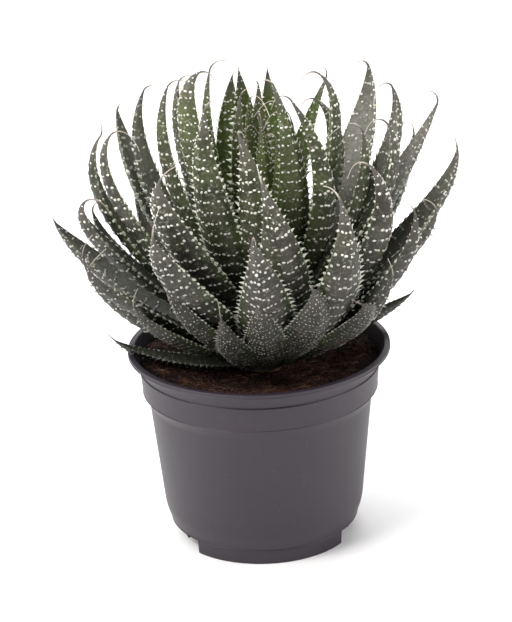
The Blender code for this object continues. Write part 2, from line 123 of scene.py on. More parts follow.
class Graph:
    """A node tree being built, for a material or for Geometry Nodes."""

    def __init__(self, tree: NodeTree) -> None:
        """Start on a tree."""
        self.tree = tree

    def add(self, kind: str, inputs: dict | None = None, **settings: object) -> Node:
        """Add a node, set its properties, and fill or link its inputs.

        Args:
            kind: node type.
            inputs: input name or index to a value or to another node's output.
            settings: the node's properties.

        Returns:
            The node.
        """
        node = self.tree.nodes.new(kind)
        for name, value in settings.items():
            setattr(node, name, value)
        for key, value in (inputs or {}).items():
            self.feed(node.inputs[key], value)
        return node

    def out(self, kind: str, inputs: dict | None = None, output: int | str = 0, **settings: object) -> Wire:
        """One output of a new node."""
        return Wire(self, self.add(kind, inputs, **settings).outputs[output])

    def feed(self, socket: NodeSocket, value: object) -> None:
        """Link an output to a socket, or set the socket's own value."""
        if isinstance(value, Wire):
            self.tree.links.new(value.socket, socket)
        else:
            socket.default_value = value

    def maths(self, operation: str, *values: object, clamp: bool = False) -> Wire:
        """Output of a Math node."""
        return self.out("ShaderNodeMath", dict(enumerate(values)), operation=operation, use_clamp=clamp)

    def vector(self, operation: str, first: object, second: object = None) -> Wire:
        """Output of a Vector Math node.

        Args:
            operation: the node's operation.
            first: first vector.
            second: second vector, or the factor of SCALE, or nothing for LENGTH.

        Returns:
            The vector, or the number for LENGTH.
        """
        inputs = {0: first}
        if second is not None:
            inputs["Scale" if operation == "SCALE" else 1] = second
        return self.out("ShaderNodeVectorMath", inputs, "Value" if operation == "LENGTH" else "Vector",
                        operation=operation)

    def join_axes(self, x: object, y: object, z: object = 0.0) -> Wire:
        """Vector of three numbers."""
        return self.out("ShaderNodeCombineXYZ", {0: x, 1: y, 2: z})

    def axis(self, vector: Wire, index: int) -> Wire:
        """One number of a vector."""
        return self.out("ShaderNodeSeparateXYZ", {0: vector}, index)


class Shader(Graph):
    """A material with a Principled surface, under construction."""

    def __init__(self, name: str) -> None:
        """Make the material and take hold of its surface node.

        Args:
            name: name of the material.
        """
        self.material = bpy.data.materials.new(name)
        self.material.use_nodes = True
        super().__init__(self.material.node_tree)
        self.surface = self.tree.nodes["Principled BSDF"]

    def place(self) -> Wire:
        """Object coordinates, in metres."""
        return self.out("ShaderNodeTexCoord", output="Object")

    def attribute(self, name: str) -> Wire:
        """A float attribute of the mesh."""
        return self.out("ShaderNodeAttribute", output="Fac", attribute_name=name)

    def ease(self, value: object, low: float, high: float) -> Wire:
        """Smooth step of a value from 0 at low to 1 at high."""
        return self.out("ShaderNodeMapRange", {"Value": value, "From Min": low, "From Max": high},
                        interpolation_type="SMOOTHSTEP")

    def blend(self, share: object, low: object, high: object, mode: str = "MIX") -> Wire:
        """Mix of two colours by a share."""
        low, high = ((*c, 1.0) if isinstance(c, tuple) else c for c in (low, high))
        return self.out("ShaderNodeMix", {0: share, 6: low, 7: high}, 2, data_type="RGBA", blend_type=mode)

    def noise(self, place: Wire, scale: float, detail: float = 3.0, rough: float = 0.55) -> Wire:
        """Noise factor at a place."""
        return self.out("ShaderNodeTexNoise", {"Vector": place, "Scale": scale, "Detail": detail,
                                               "Roughness": rough})

    def shaded(self, colour: Wire, light: Wire) -> Wire:
        """A colour times a number."""
        return self.blend(1.0, colour, self.join_axes(light, light, light), "MULTIPLY")

    def painted_low_shade(self, colour: Wire) -> Wire:
        """A colour darkened by painted shade towards the plant's low, oldest leaves."""
        height = self.ease(self.axis(self.place(), 2), LOW_LEAVES, HIGH_LEAVES)
        return self.shaded(colour, height * (1 - LOWEST_PAINTED_SHADE) + LOWEST_PAINTED_SHADE)

    def set(self, **inputs: object) -> None:
        """Set or link inputs of the surface; an underscore in a name stands for a space."""
        for name, value in inputs.items():
            self.feed(self.surface.inputs[name.replace("_", " ")], value)

    def bump(self, height: Wire, depth: float) -> None:
        """Relief on the surface, from a height of 0 to 1 and a depth in metres."""
        self.set(Normal=self.out("ShaderNodeBump", {"Height": height, "Distance": depth, "Strength": 1.0}))


class Growth(Graph):
    """A Geometry Nodes group that adds finished pieces to the mesh it is given."""

    def __init__(self, name: str, **inputs: float) -> None:
        """Start the group.

        Args:
            name: name of the group.
            inputs: the group's inputs and their defaults; an underscore stands for a space.
        """
        tree = bpy.data.node_groups.new(name, "GeometryNodeTree")
        for way in ("INPUT", "OUTPUT"):
            tree.interface.new_socket("Geometry", in_out=way, socket_type="NodeSocketGeometry")
        for label, default in inputs.items():
            kind = "NodeSocketInt" if isinstance(default, int) else "NodeSocketFloat"
            socket = tree.interface.new_socket(label.replace("_", " "), in_out="INPUT", socket_type=kind)
            socket.default_value = default
        super().__init__(tree)
        self.entry = self.add("NodeGroupInput")
        self.exit = self.add("NodeGroupOutput")
        self.mesh = self.given("Geometry")

    def given(self, name: str) -> Wire:
        """An input of the group."""
        return Wire(self, self.entry.outputs[name])

    def stored(self, name: str, kind: str = "FLOAT") -> Wire:
        """A named attribute."""
        return self.out("GeometryNodeInputNamedAttribute", {"Name": name}, data_type=kind)

    def chance(self, low: float | Triple, high: float | Triple, salt: int, key: Wire | None = None) -> Wire:
        """Random number or vector between two limits.

        Args:
            low: lower limit.
            high: upper limit.
            salt: added to the group's seed.
            key: what the value changes with, or nothing for each point's own.

        Returns:
            The value.
        """
        whole = isinstance(low, tuple)
        first = 0 if whole else 2
        inputs = {"Seed": self.given("Seed") + float(salt), first: low, first + 1: high}
        if key is not None:
            inputs["ID"] = key
        return self.out("FunctionNodeRandomValue", inputs, 0 if whole else 1,
                        data_type="FLOAT_VECTOR" if whole else "FLOAT")

    def sample(self, value: Wire, across: object, way: Wire, kind: str = "FLOAT_VECTOR") -> list[Wire]:
        """Read a value of the mesh at a coordinate of its UV map.

        Args:
            value: what to read.
            across: U coordinate.
            way: V coordinate.
            kind: data type of the value.

        Returns:
            The value, and whether the coordinate is on the mesh.
        """
        node = self.add("GeometryNodeSampleUVSurface", {
            "Mesh": self.mesh, "Value": value, "Source UV Map": self.stored("UVMap", "FLOAT_VECTOR"),
            "Sample UV": self.join_axes(across, way)}, data_type=kind)
        return [Wire(self, output) for output in node.outputs[:2]]

    def shaken(self, mesh: Wire, scale: float, detail: float, reach: float) -> Wire:
        """Push a mesh's points about by a noise.

        Args:
            mesh: the mesh.
            scale: scale of the noise.
            detail: octaves of the noise.
            reach: length that the noise is multiplied by.

        Returns:
            The mesh.
        """
        place = self.out("GeometryNodeInputPosition")
        cloud = self.out("ShaderNodeTexNoise", {"Vector": place, "Scale": scale, "Detail": detail}, 1)
        push = self.vector("SCALE", self.vector("SUBTRACT", cloud, (0.5, 0.5, 0.5)), reach)
        return self.out("GeometryNodeSetPosition", {"Geometry": mesh, "Offset": push})

    def turned(self, upward: Wire, forward: Wire) -> Wire:
        """Rotation that stands Z on one vector and turns X towards another."""
        turn = self.out("FunctionNodeAlignRotationToVector", {"Vector": upward}, axis="Z")
        return self.out("FunctionNodeAlignRotationToVector", {"Rotation": turn, "Vector": forward}, axis="X",
                        pivot_axis="Z")

    def copies(self, points: Wire, shape: Wire, turn: Wire, size: Wire, kept: object = True) -> Wire:
        """Instances of a shape on points."""
        return self.out("GeometryNodeInstanceOnPoints", {"Points": points, "Instance": shape, "Scale": size,
                                                         "Rotation": turn, "Selection": kept})

    def join(self, *parts: Wire) -> Wire:
        """Join geometries.

        Args:
            parts: the geometries, linked in this order.

        Returns:
            The whole.
        """
        node = self.add("GeometryNodeJoinGeometry")
        for part in parts:
            self.feed(node.inputs[0], part)
        return Wire(self, node.outputs[0])

    def finish(self, pieces: Wire, material: Material, smooth: bool = True) -> NodeTree:
        """End the group: make the pieces real, dress them, and join them to the given mesh.

        Args:
            pieces: the pieces or their instances.
            material: their finish.
            smooth: whether they are shaded smooth.

        Returns:
            The group.
        """
        pieces = self.out("GeometryNodeRealizeInstances", {0: pieces})
        if smooth:
            pieces = self.out("GeometryNodeSetShadeSmooth", {"Geometry": pieces})
        pieces = self.out("GeometryNodeSetMaterial", {"Geometry": pieces, "Material": material})
        self.feed(self.exit.inputs[0], self.join(pieces, self.mesh))
        return self.tree


# Meshes and objects


def new_object(name: str, data: bpy.types.ID, *materials: Material) -> Object:
    """Link a mesh, a light or a camera to the scene as an object at the origin.

    Args:
        name: object name.
        data: what the object shows.
        materials: materials for a mesh's slots.

    Returns:
        The object.
    """
    for material in materials:
        data.materials.append(material)
    obj = bpy.data.objects.new(name, data)
    bpy.context.scene.collection.objects.link(obj)
    return obj


def plain_mesh(obj: Object, name: str) -> Object:
    """Replace an object and its modifiers with one plain mesh object.

    Args:
        obj: the object, removed here.
        name: name of the plain object.

    Returns:
        The plain object.
    """
    bpy.context.view_layer.update()
    depsgraph = bpy.context.evaluated_depsgraph_get()
    mesh = bpy.data.meshes.new_from_object(obj.evaluated_get(depsgraph), preserve_all_data_layers=True,
                                           depsgraph=depsgraph)
    obj.modifiers.clear()
    bpy.data.objects.remove(obj, do_unlink=True)
    mesh.name = name
    return new_object(name, mesh)


def hand_over(piece: Object, slot: Slot, *nodes: str) -> None:
    """Let a finished piece ride on the plant's body and stand for its CAD nodes, where it has any.

    Args:
        piece: the piece.
        slot: slot of its finish; not used.
        nodes: the nodes that it stands for.
    """
    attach(piece, BODY)
    if nodes:
        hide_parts(*nodes)
    faces = len(piece.data.polygons)
    LOG.info("%s: %d faces, stands for %s", piece.name, faces, ", ".join(nodes) or "no node")


def grow(obj: Object, tree: NodeTree, **values: float) -> None:
    """Put a Geometry Nodes modifier on an object.

    Args:
        obj: the object.
        tree: the node group.
        values: the group's inputs by name; an underscore stands for a space.
    """
    modifier = obj.modifiers.new(tree.name, "NODES")
    modifier.node_group = tree
    sockets = {s.name: s.identifier for s in tree.interface.items_tree if s.in_out == "INPUT"}
    for name, value in values.items():
        modifier[sockets[name.replace("_", " ")]] = value


def circle(radius: float, height: float, sides: int, centre: Sequence[float] = (0.0, 0.0)) -> list[Vector]:
    """Points round a level circle.

    Args:
        radius: its radius.
        height: its height.
        sides: number of points.
        centre: its centre.

    Returns:
        The points.
    """
    x, y = centre
    turns = (2 * math.pi * i / sides for i in range(sides))
    return [Vector((x + radius * math.cos(a), y + radius * math.sin(a), height)) for a in turns]


def loft(name: str, rings: Sequence[Sequence[Vector]], *materials: Material) -> Object:
    """Make a closed body through rings of points; its end rings are capped, and one point is a pole.

    Args:
        name: name of the object and its mesh.
        rings: the rings, in order.
        materials: materials for its slots.

    Returns:
        The object.
    """
    bm = bmesh.new()
    loops = [[bm.verts.new(point) for point in ring] for ring in rings]
    for near, far in zip(loops, loops[1:]):
        for i in range(max(len(near), len(far))):
            here, after = (i % len(near), i % len(far)), ((i + 1) % len(near), (i + 1) % len(far))
            corners = (near[here[0]], near[after[0]], far[after[1]], far[here[1]])
            bm.faces.new(tuple(dict.fromkeys(corners)))
    for end in (loops[0][::-1], loops[-1]):
        if len(end) > 2:
            bm.faces.new(end)
    bmesh.ops.recalc_face_normals(bm, faces=bm.faces)
    mesh = bpy.data.meshes.new(name)
    bm.to_mesh(mesh)
    bm.free()
    return new_object(name, mesh, *materials)


def curve_through(x: float, stations: Sequence[float], values: Sequence[float]) -> float:
    """Value at x of a smooth curve through stations.

    Args:
        x: where to read it.
        stations: rising x values.
        values: the curve's value at each.

    Returns:
        The value.
    """
    last = len(stations) - 1
    k = min(max(int(np.searchsorted(stations, x, side="right")) - 1, 0), last - 1)
    slopes = []
    for i in (k, k + 1):
        low, high = max(i - 1, 0), min(i + 1, last)
        slopes.append((values[high] - values[low]) / (stations[high] - stations[low]))
    width = stations[k + 1] - stations[k]
    t = min(max((x - stations[k]) / width, 0.0), 1.0)
    return ((2 * t ** 3 - 3 * t ** 2 + 1) * values[k] + (t ** 3 - 2 * t ** 2 + t) * width * slopes[0]
            + (3 * t ** 2 - 2 * t ** 3) * values[k + 1] + (t ** 3 - t ** 2) * width * slopes[1])


# Finishes


@dataclass(frozen=True)
class SkinFinish:
    """Leaf skin: dull grey-brown outside, paler inside (partly its own tone, partly painted light from
    above), dark at the tip, bleached on the awn.
    """

    outer: Triple = (0.087, 0.075, 0.064)
    outer_dark: Triple = (0.036, 0.032, 0.023)
    # Inner face colour: partly its own tone, partly painted light from above.
    inner: Triple = (0.225, 0.218, 0.190)
    green: Triple = (0.066, 0.106, 0.012)
    green_dark: Triple = (0.011, 0.029, 0.003)
    young: Triple = (0.150, 0.190, 0.055)
    base: Triple = (0.085, 0.100, 0.026)
    tip: Triple = (0.115, 0.103, 0.090)
    edge: Triple = (0.130, 0.165, 0.065)
    awn: Triple = (0.460, 0.385, 0.335)
    awn_end: Triple = (0.800, 0.740, 0.700)
    fleck: Triple = (0.340, 0.335, 0.290)
    mottle: float = 95.0
    grain: float = 1500.0
    fleck_scale: float = 620.0
    relief: float = 0.35 * MM

    def build(self) -> Material:
        """Make the material, which reads the leaf's UV map and its point attributes.

        Returns:
            The material.
        """
        g = Shader("leaf_skin")
        place, uv = g.place(), g.out("ShaderNodeUVMap", uv_map="UVMap")
        across, along = g.axis(uv, 0), g.axis(uv, 1)
        greenness, dry = g.attribute("green"), g.attribute("awn")
        cloud = g.noise(place, self.mottle, 4.0)
        grain = g.noise(place, self.grain, 2.0)
        pores = g.noise(place, self.fleck_scale, 2.0, 0.6)
        patch = g.ease(cloud, 0.38, 0.66)
        outer = g.blend(patch, self.outer_dark, self.outer)
        leafy = g.blend(patch, self.green_dark, self.green)
        tinged = g.ease(g.noise(place, self.mottle * 0.6), 0.25, 0.7)
        tinged = g.maths("MULTIPLY", greenness, tinged, clamp=True)
        verge = g.ease(g.maths("ABSOLUTE", across - 0.75) * 4.0, 0.50, 0.98) * g.ease(along, 0.95, 0.45)
        sheltered = g.maths("MAXIMUM", verge, g.ease(along, 0.58, 0.16)) * 0.92
        outer = g.blend(g.maths("MAXIMUM", tinged, sheltered), outer, leafy)
        # The paler inner face is partly painted light from above.
        inner = g.blend(patch * 0.45, g.blend(greenness, self.inner, self.green), outer)
        skin = g.blend(g.ease(across, 0.49, 0.51), inner, outer)
        skin = g.blend(g.attribute("young") * 0.8, skin, self.young)
        skin = g.blend(g.ease(pores, 0.56, 0.72) * 0.55, skin, self.fleck)
        skin = g.shaded(skin, grain * 0.5 + pores * 0.9 + 0.25)
        skin = g.blend(g.ease(along, 0.20, 0.0) * 0.6, skin, self.base)
        skin = g.blend(g.ease(g.attribute("margin"), 0.55, 0.95) * 0.5, skin, self.edge)
        skin = g.blend(g.ease(along, 0.86, 0.99) * 0.8, skin, self.tip)
        bleached = g.blend(g.ease(dry, 0.35, 1.0), self.awn, self.awn_end)
        skin = g.blend(g.ease(dry, 0.02, 0.30), skin, bleached)
        # Painted shade darkens the skin towards the low leaves.
        g.set(Base_Color=g.painted_low_shade(skin), Roughness=cloud * 0.25 + 0.40, Specular_IOR_Level=0.36)
        g.bump(grain * 0.3 + pores * 0.9 + cloud, self.relief)
        return g.material


@dataclass(frozen=True)
class PearlFinish:
    """Raised spots and teeth: hard, off-white, faintly stained."""

    name: str
    pale: Triple
    stained: Triple
    roughness: float = 0.42
    stain_scale: float = 260.0
    relief: float = 0.06 * MM

    def build(self) -> Material:
        """Make the material.

        Returns:
            The material.
        """
        g = Shader(self.name)
        place = g.place()
        stain = g.ease(g.noise(place, self.stain_scale, 2.0), 0.35, 0.72)
        # Painted shade darkens the spots and teeth towards the low leaves.
        g.set(Base_Color=g.painted_low_shade(g.blend(stain, self.pale, self.stained)), Roughness=self.roughness)
        g.bump(g.noise(place, self.stain_scale * 9, 2.0), self.relief)
        return g.material


@dataclass(frozen=True)
class PlasticFinish:
    """Moulded plastic of the pot: satin charcoal with a purple cast, dusty and lightly scuffed."""

    colour: Triple = (0.0270, 0.0190, 0.0290)
    deep: Triple = (0.0205, 0.0140, 0.0225)
    dust: Triple = (0.090, 0.073, 0.090)
    roughness: float = 0.40
    roughness_spread: float = 0.16
    cloud_scale: float = 28.0
    speck_scale: float = 700.0
    scuff_scale: float = 120.0
    scuff_stretch: Triple = (1.0, 1.0, 0.08)
    pebble_scale: float = 2600.0
    relief: float = 0.03 * MM

    def build(self) -> Material:
        """Make the material.

        Returns:
            The material.
        """
        g = Shader("pot_plastic")
        place = g.place()
        cloud = g.noise(place, self.cloud_scale, 4.0)
        base = g.blend(g.ease(cloud, 0.3, 0.7), self.deep, self.colour)
        specks = g.ease(g.noise(place, self.speck_scale, 1.0), 0.69, 0.78)
        upright = g.out("ShaderNodeMapping", {"Vector": place, "Scale": self.scuff_stretch})
        scuffs = g.ease(g.noise(upright, self.scuff_scale, 6.0, 0.7), 0.60, 0.80)
        g.set(Base_Color=g.blend(specks * 0.30 + scuffs * 0.12, base, self.dust),
              Roughness=cloud * self.roughness_spread + self.roughness)
        g.bump(g.noise(place, self.pebble_scale, 2.0), self.relief)
        return g.material


@dataclass(frozen=True)
class CrumbFinish:
    """Peat, bark crumbs or fibres: matt and broken in colour."""

    name: str
    dark: Triple
    light: Triple
    patch_scale: float
    relief: float
    roughness: float = 0.95

    def build(self) -> Material:
        """Make the material.

        Returns:
            The material.
        """
        g = Shader(self.name)
        place = g.place()
        patch = g.ease(g.noise(place, self.patch_scale, 4.0), 0.36, 0.68)
        g.set(Base_Color=g.blend(patch, self.dark, self.light), Roughness=self.roughness,
              Specular_IOR_Level=0.2)
        g.bump(g.noise(place, self.patch_scale * 4, 4.0), self.relief)
        return g.material


# The rosette


@dataclass(frozen=True)
class LeafPlan:
    """Where a leaf roots and ends, and how it bends; millimetres and degrees."""

    azimuth: float
    reach: float
    top: float
    root: float
    width: float
    bow: float
    awn: float = 17.0
    curl: float = 120.0
    lead: float = 0.2
    sweep: float = 0.0
    green: float | None = None


@dataclass(frozen=True)
class TierLook:
    """Relief and colour shared by the leaves of a tier; lengths in millimetres."""

    row_pitch: float
    spot_pitch: float
    spot_radius: float
    tooth: float
    tooth_pitch: float
    green: float
    inner_missing: float = 0.62
    young: float = 0.0


TIER_LOOKS: dict[Tier, TierLook] = {
    Tier.YOUNG: TierLook(3.1, 1.4, 0.52, 1.5, 2.4, 1.00, 0.2, 1.0),
    Tier.HEART: TierLook(4.1, 1.6, 0.61, 2.0, 2.9, 0.70, 0.4, 0.40),
    Tier.INNER: TierLook(5.2, 1.7, 0.70, 2.5, 3.3, 0.55, 0.4, 0.12),
    Tier.MIDDLE: TierLook(5.8, 1.8, 0.75, 2.7, 3.5, 0.30, 0.5),
    Tier.OUTER: TierLook(5.4, 1.75, 0.71, 2.6, 3.3, 0.20, 0.5),
    Tier.SKIRT: TierLook(2.8, 1.45, 0.36, 2.0, 2.4, 0.08),
}

ROSETTE: dict[Tier, tuple[LeafPlan, ...]] = {
    Tier.YOUNG: (
        LeafPlan(-75, 6, 198, 113, 11, 3, 18, 150),
        LeafPlan(-20, 12, 203, 113, 11, 3, 18, 140),
        LeafPlan(18, 15, 197, 112, 11, 4, 20, 150),
        LeafPlan(-125, 10, 193, 113, 12, 3, 16, 130),
        LeafPlan(125, 6, 204, 113, 10, 2, 20, 130),
        LeafPlan(-48, 12, 190, 112, 11, 3, 17, 160),
    ),
    Tier.HEART: (
        LeafPlan(-152, 8, 209, 112, 15, 3, 12, 100),
        LeafPlan(83, 6, 211, 113, 13, 2, 14, 120),
        LeafPlan(-55, 13, 215, 110, 21, 11, 14, 120, lead=0.0, sweep=4),
        LeafPlan(174, 20, 220, 107, 19, 5, 18, lead=0.15, sweep=1),
        LeafPlan(-144, 30, 224, 107, 21, 9, 16, lead=0.45, sweep=-3, green=0.45),
    ),
    Tier.INNER: (
        LeafPlan(79, 28, 211, 108, 18, 5, 5, 20, green=0.95),
        LeafPlan(103, 33, 210, 108, 20, 6, 5, 20, sweep=-2, green=0.95),
        LeafPlan(0, 27, 217, 107, 18, 11, 20, 150, lead=0.35, sweep=1, green=0.6),
        LeafPlan(-40, 19, 209, 104, 19, 18, 16, 120, lead=0.1, sweep=6),
        LeafPlan(166, 35, 213, 104, 18, 7, lead=0.25),
        LeafPlan(29, 30, 201, 103, 18, 12, 16, lead=0.35, sweep=-6, green=0.7),
        LeafPlan(-162, 40, 217, 103, 18, 11, lead=0.25, sweep=-1),
        LeafPlan(-126, 38, 211, 101, 23, 10, 14, 100),
        LeafPlan(-104, 35, 200, 101, 23, 9, 10, 140, lead=0.15, sweep=7),
        LeafPlan(105, 42, 205, 103, 22, 6, 8, 60, lead=0.25, sweep=2, green=0.95),
        LeafPlan(-8, 46, 192, 98, 23, 9, 18, 130, lead=0.15),
    ),
    Tier.MIDDLE: (
        LeafPlan(37, 64, 209, 98, 27, 9, 16, 130, lead=0.25, sweep=-1, green=0.0),
        LeafPlan(152, 57, 205, 98, 18, 15, 18, 130, lead=0.25, sweep=4),
        LeafPlan(154, 70, 195, 96, 24, 10, 8, 60, sweep=-1),
        LeafPlan(55, 56, 202, 100, 17, 3, 20, lead=0.05, sweep=7, green=1.0),
        LeafPlan(17, 63, 205, 96, 21, 13, 16, 150, lead=0.3, green=0.1),
        LeafPlan(-4, 56, 195, 95, 20, 12, 16, 140, lead=0.35, green=0.5),
        LeafPlan(-164, 66, 198, 91, 18, 12, 16, lead=0.4, sweep=-1),
        LeafPlan(-178, 69, 193, 90, 18, 16, 14, -60, lead=0.35),
        LeafPlan(84, 60, 190, 96, 22, 9),
        LeafPlan(122, 62, 188, 95, 22, 9),
        LeafPlan(-89, 58, 185, 98, 27, 15, 12, 60, lead=0.15, sweep=7),
        LeafPlan(-130, 66, 186, 96, 25, 5, 14, 60, lead=0.4, sweep=-2),
        LeafPlan(-38, 60, 185, 93, 24, 16, 18, 130, lead=0.3, sweep=5),
        LeafPlan(-93, 74, 166, 86, 25, 7, 10, 200, lead=0.25, sweep=3, green=0.1),
        LeafPlan(-63, 73, 179, 90, 27, 16, 16, 100, lead=0.15, sweep=4),
        LeafPlan(24, 90, 191, 91, 23, 7, 24, 150, lead=0.05, sweep=4, green=0.0),
    ),
    Tier.OUTER: (
        LeafPlan(-127, 76, 164, 89, 26, 4, 14, 50, lead=0.35),
        LeafPlan(-171, 78, 166, 90, 21, 8, 16, 130, lead=0.45, sweep=-4),
        LeafPlan(11, 91, 175, 90, 22, 10, 12, 40, lead=0.3, sweep=1),
        LeafPlan(-27, 74, 163, 85, 21, 10, 8, 60, lead=0.3, sweep=1),
        LeafPlan(33, 86, 174, 90, 19, 11, 12, 60),
        LeafPlan(-9, 78, 156, 85, 19, 4, 10, 90, lead=0.35, sweep=2),
        LeafPlan(58, 77, 158, 88, 21, 10),
        LeafPlan(84, 75, 150, 87, 22, 10),
        LeafPlan(110, 77, 158, 88, 21, 10),
        LeafPlan(137, 80, 150, 87, 21, 10),
        LeafPlan(157, 84, 146, 87, 20, 10),
        LeafPlan(-167, 81, 142, 84, 19, 9, 12, 60),
        LeafPlan(-155, 83, 143, 84, 19, 3, 12, 60, lead=0.45, sweep=-2),
        LeafPlan(-40, 72, 138, 83, 21, 5, 9, 60),
        LeafPlan(175, 93, 150, 85, 24, 5, 5, 20, lead=0.25, sweep=-2),
    ),
    Tier.SKIRT: (
        LeafPlan(-93, 62, 135, 82, 20, 5, 8, 60, lead=0.25, sweep=2),
        LeafPlan(-72, 67, 140, 82, 24, 4, 10, 180, lead=0.35, sweep=4),
        LeafPlan(-110, 55, 124, 83, 19, 6, 9, 50, sweep=1),
        LeafPlan(-130, 65, 140, 84, 18, 5, 14, 60, sweep=1),
        LeafPlan(-52, 68, 129, 82, 20, 3, 9, 60, lead=0.45, sweep=6),
        LeafPlan(-146, 68, 125, 83, 19, 3, 10, 60, lead=0.25, sweep=-1),
        LeafPlan(13, 70, 107, 83, 14, 3, 5, 20, sweep=3, green=0.5),
        LeafPlan(64, 66, 118, 83, 18, 6, 9, 60),
        LeafPlan(118, 66, 116, 83, 18, 6, 9, 60),
        LeafPlan(-173, 69, 99, 82, 13, 4, 5, 20, green=0.5),
    ),
}


@dataclass(frozen=True)
class CrownStem:
    """Short stem that the leaves root on."""

    foot: float = 66.0 * MM
    shoulder: float = 83.0 * MM
    top: float = 115.0 * MM
    dome: float = 1.5 * MM
    radius: float = 7.0 * MM
    top_radius: float = 3.2 * MM
    offset: float = 3.0 * MM
    scar_pitch: float = 2.6 * MM
    scar_depth: float = 0.25 * MM
    sides: int = 40
    rings: int = 64

    def radius_at(self, height: float) -> float:
        """Radius at a height."""
        share = (height - self.shoulder) / (self.top - self.dome - self.shoulder)
        return self.radius + (self.top_radius - self.radius) * min(max(share, 0.0), 1.0)

    def build(self, material: Material) -> Object:
        """Make the ringed stem.

        Args:
            material: its finish.

        Returns:
            The stem's object.
        """
        rings = []
        for k in range(self.rings + 1):
            height = self.foot + (self.top - self.foot) * k / self.rings
            cap = min(max((height - self.top + self.dome) / self.dome, 0.0), 1.0)
            radius = self.radius_at(height) * math.sqrt(1.0 - 0.85 * cap ** 2)
            radius -= self.scar_depth * (0.5 + 0.5 * math.cos(2 * math.pi * height / self.scar_pitch))
            rings.append(circle(radius, height, self.sides, (self.offset, 0.0)))
        stem = loft("crown", rings, material)
        stem.data.shade_smooth()
        return stem


class Spine:
    """Middle line of a leaf and of its awn, with the frame that carries their sections."""

    ROOT_DEPTH = 1.0 * MM
    CURL_EASE = 2.2

    def __init__(self, plan: LeafPlan, stem: CrownStem, twist: float, drift: float) -> None:
        """Set the spine up.

        Args:
            plan: the leaf's plan.
            stem: the stem that it roots on.
            twist: turn of the tip's section about the leaf, in radians.
            drift: sideways drift of the awn's end as a share of its length.
        """
        azimuth = math.radians(plan.azimuth)
        out = Vector((math.cos(azimuth), math.sin(azimuth), 0.0))
        self.level = Vector((-math.sin(azimuth), math.cos(azimuth), 0.0))
        root = Vector((stem.radius_at(plan.root * MM) - self.ROOT_DEPTH, plan.root * MM))
        tip = Vector((plan.reach * MM, plan.top * MM))
        chord = tip - root
        outward = Vector((chord.y, -chord.x)).normalized()
        bend = root + chord * (0.5 + plan.lead) + outward * (2 * plan.bow * MM)
        self.points = [Vector((stem.offset, 0.0, flat.y)) + out * flat.x for flat in (root, bend, tip)]
        self.points[1] += self.level * (2 * plan.sweep * MM)
        self.twist = twist
        self.drift = drift
        self.awn = plan.awn * MM
        self.curl = math.radians(plan.curl)

    def blade(self, share: float) -> Pose:
        """Place and frame at a share of the way to the tip.

        Args:
            share: 0 at the root and 1 at the tip.

        Returns:
            Position, direction along the leaf, direction to its side, and to its upper face.
        """
        a, b, c = self.points
        position = a * (1 - share) ** 2 + b * (2 * share * (1 - share)) + c * share ** 2
        along = ((b - a) * (1 - share) + (c - b) * share).normalized()
        side = (self.level - along * self.level.dot(along)).normalized()
        upper = along.cross(side)
        turn = self.twist * share ** 2
        return (position, along, side * math.cos(turn) + upper * math.sin(turn),
                upper * math.cos(turn) - side * math.sin(turn))

    def awn_frames(self, steps: int) -> list[tuple[float, Vector, Vector, Vector]]:
        """Frames along the awn.

        Args:
            steps: number of steps.

        Returns:
            Share of the awn's length, position, side and upper direction at each step.
        """
        position, forward, side, upper = self.blade(1.0)
        frames = []
        for k in range(1, steps + 1):
            share = k / steps
            turn = self.curl * (1 - (1 - share) ** self.CURL_EASE)
            along = forward * math.cos(turn) + upper * math.sin(turn)
            along = (along + side * (self.drift * share)).normalized()
            position = position + along * (self.awn / steps)
            frames.append((share, position.copy(), side, upper * math.cos(turn) - forward * math.sin(turn)))
        return frames


@dataclass
class SkinPoint:
    """A point of a leaf's skin, with what the relief and the finish read there."""

    place: Vector
    way: float
    outward: Vector
    forward: Vector
    margin: float = 0.0
    awn: float = 0.0
    breadth: float = 0.0
    tooth: float = 0.0
    rim: bool = False


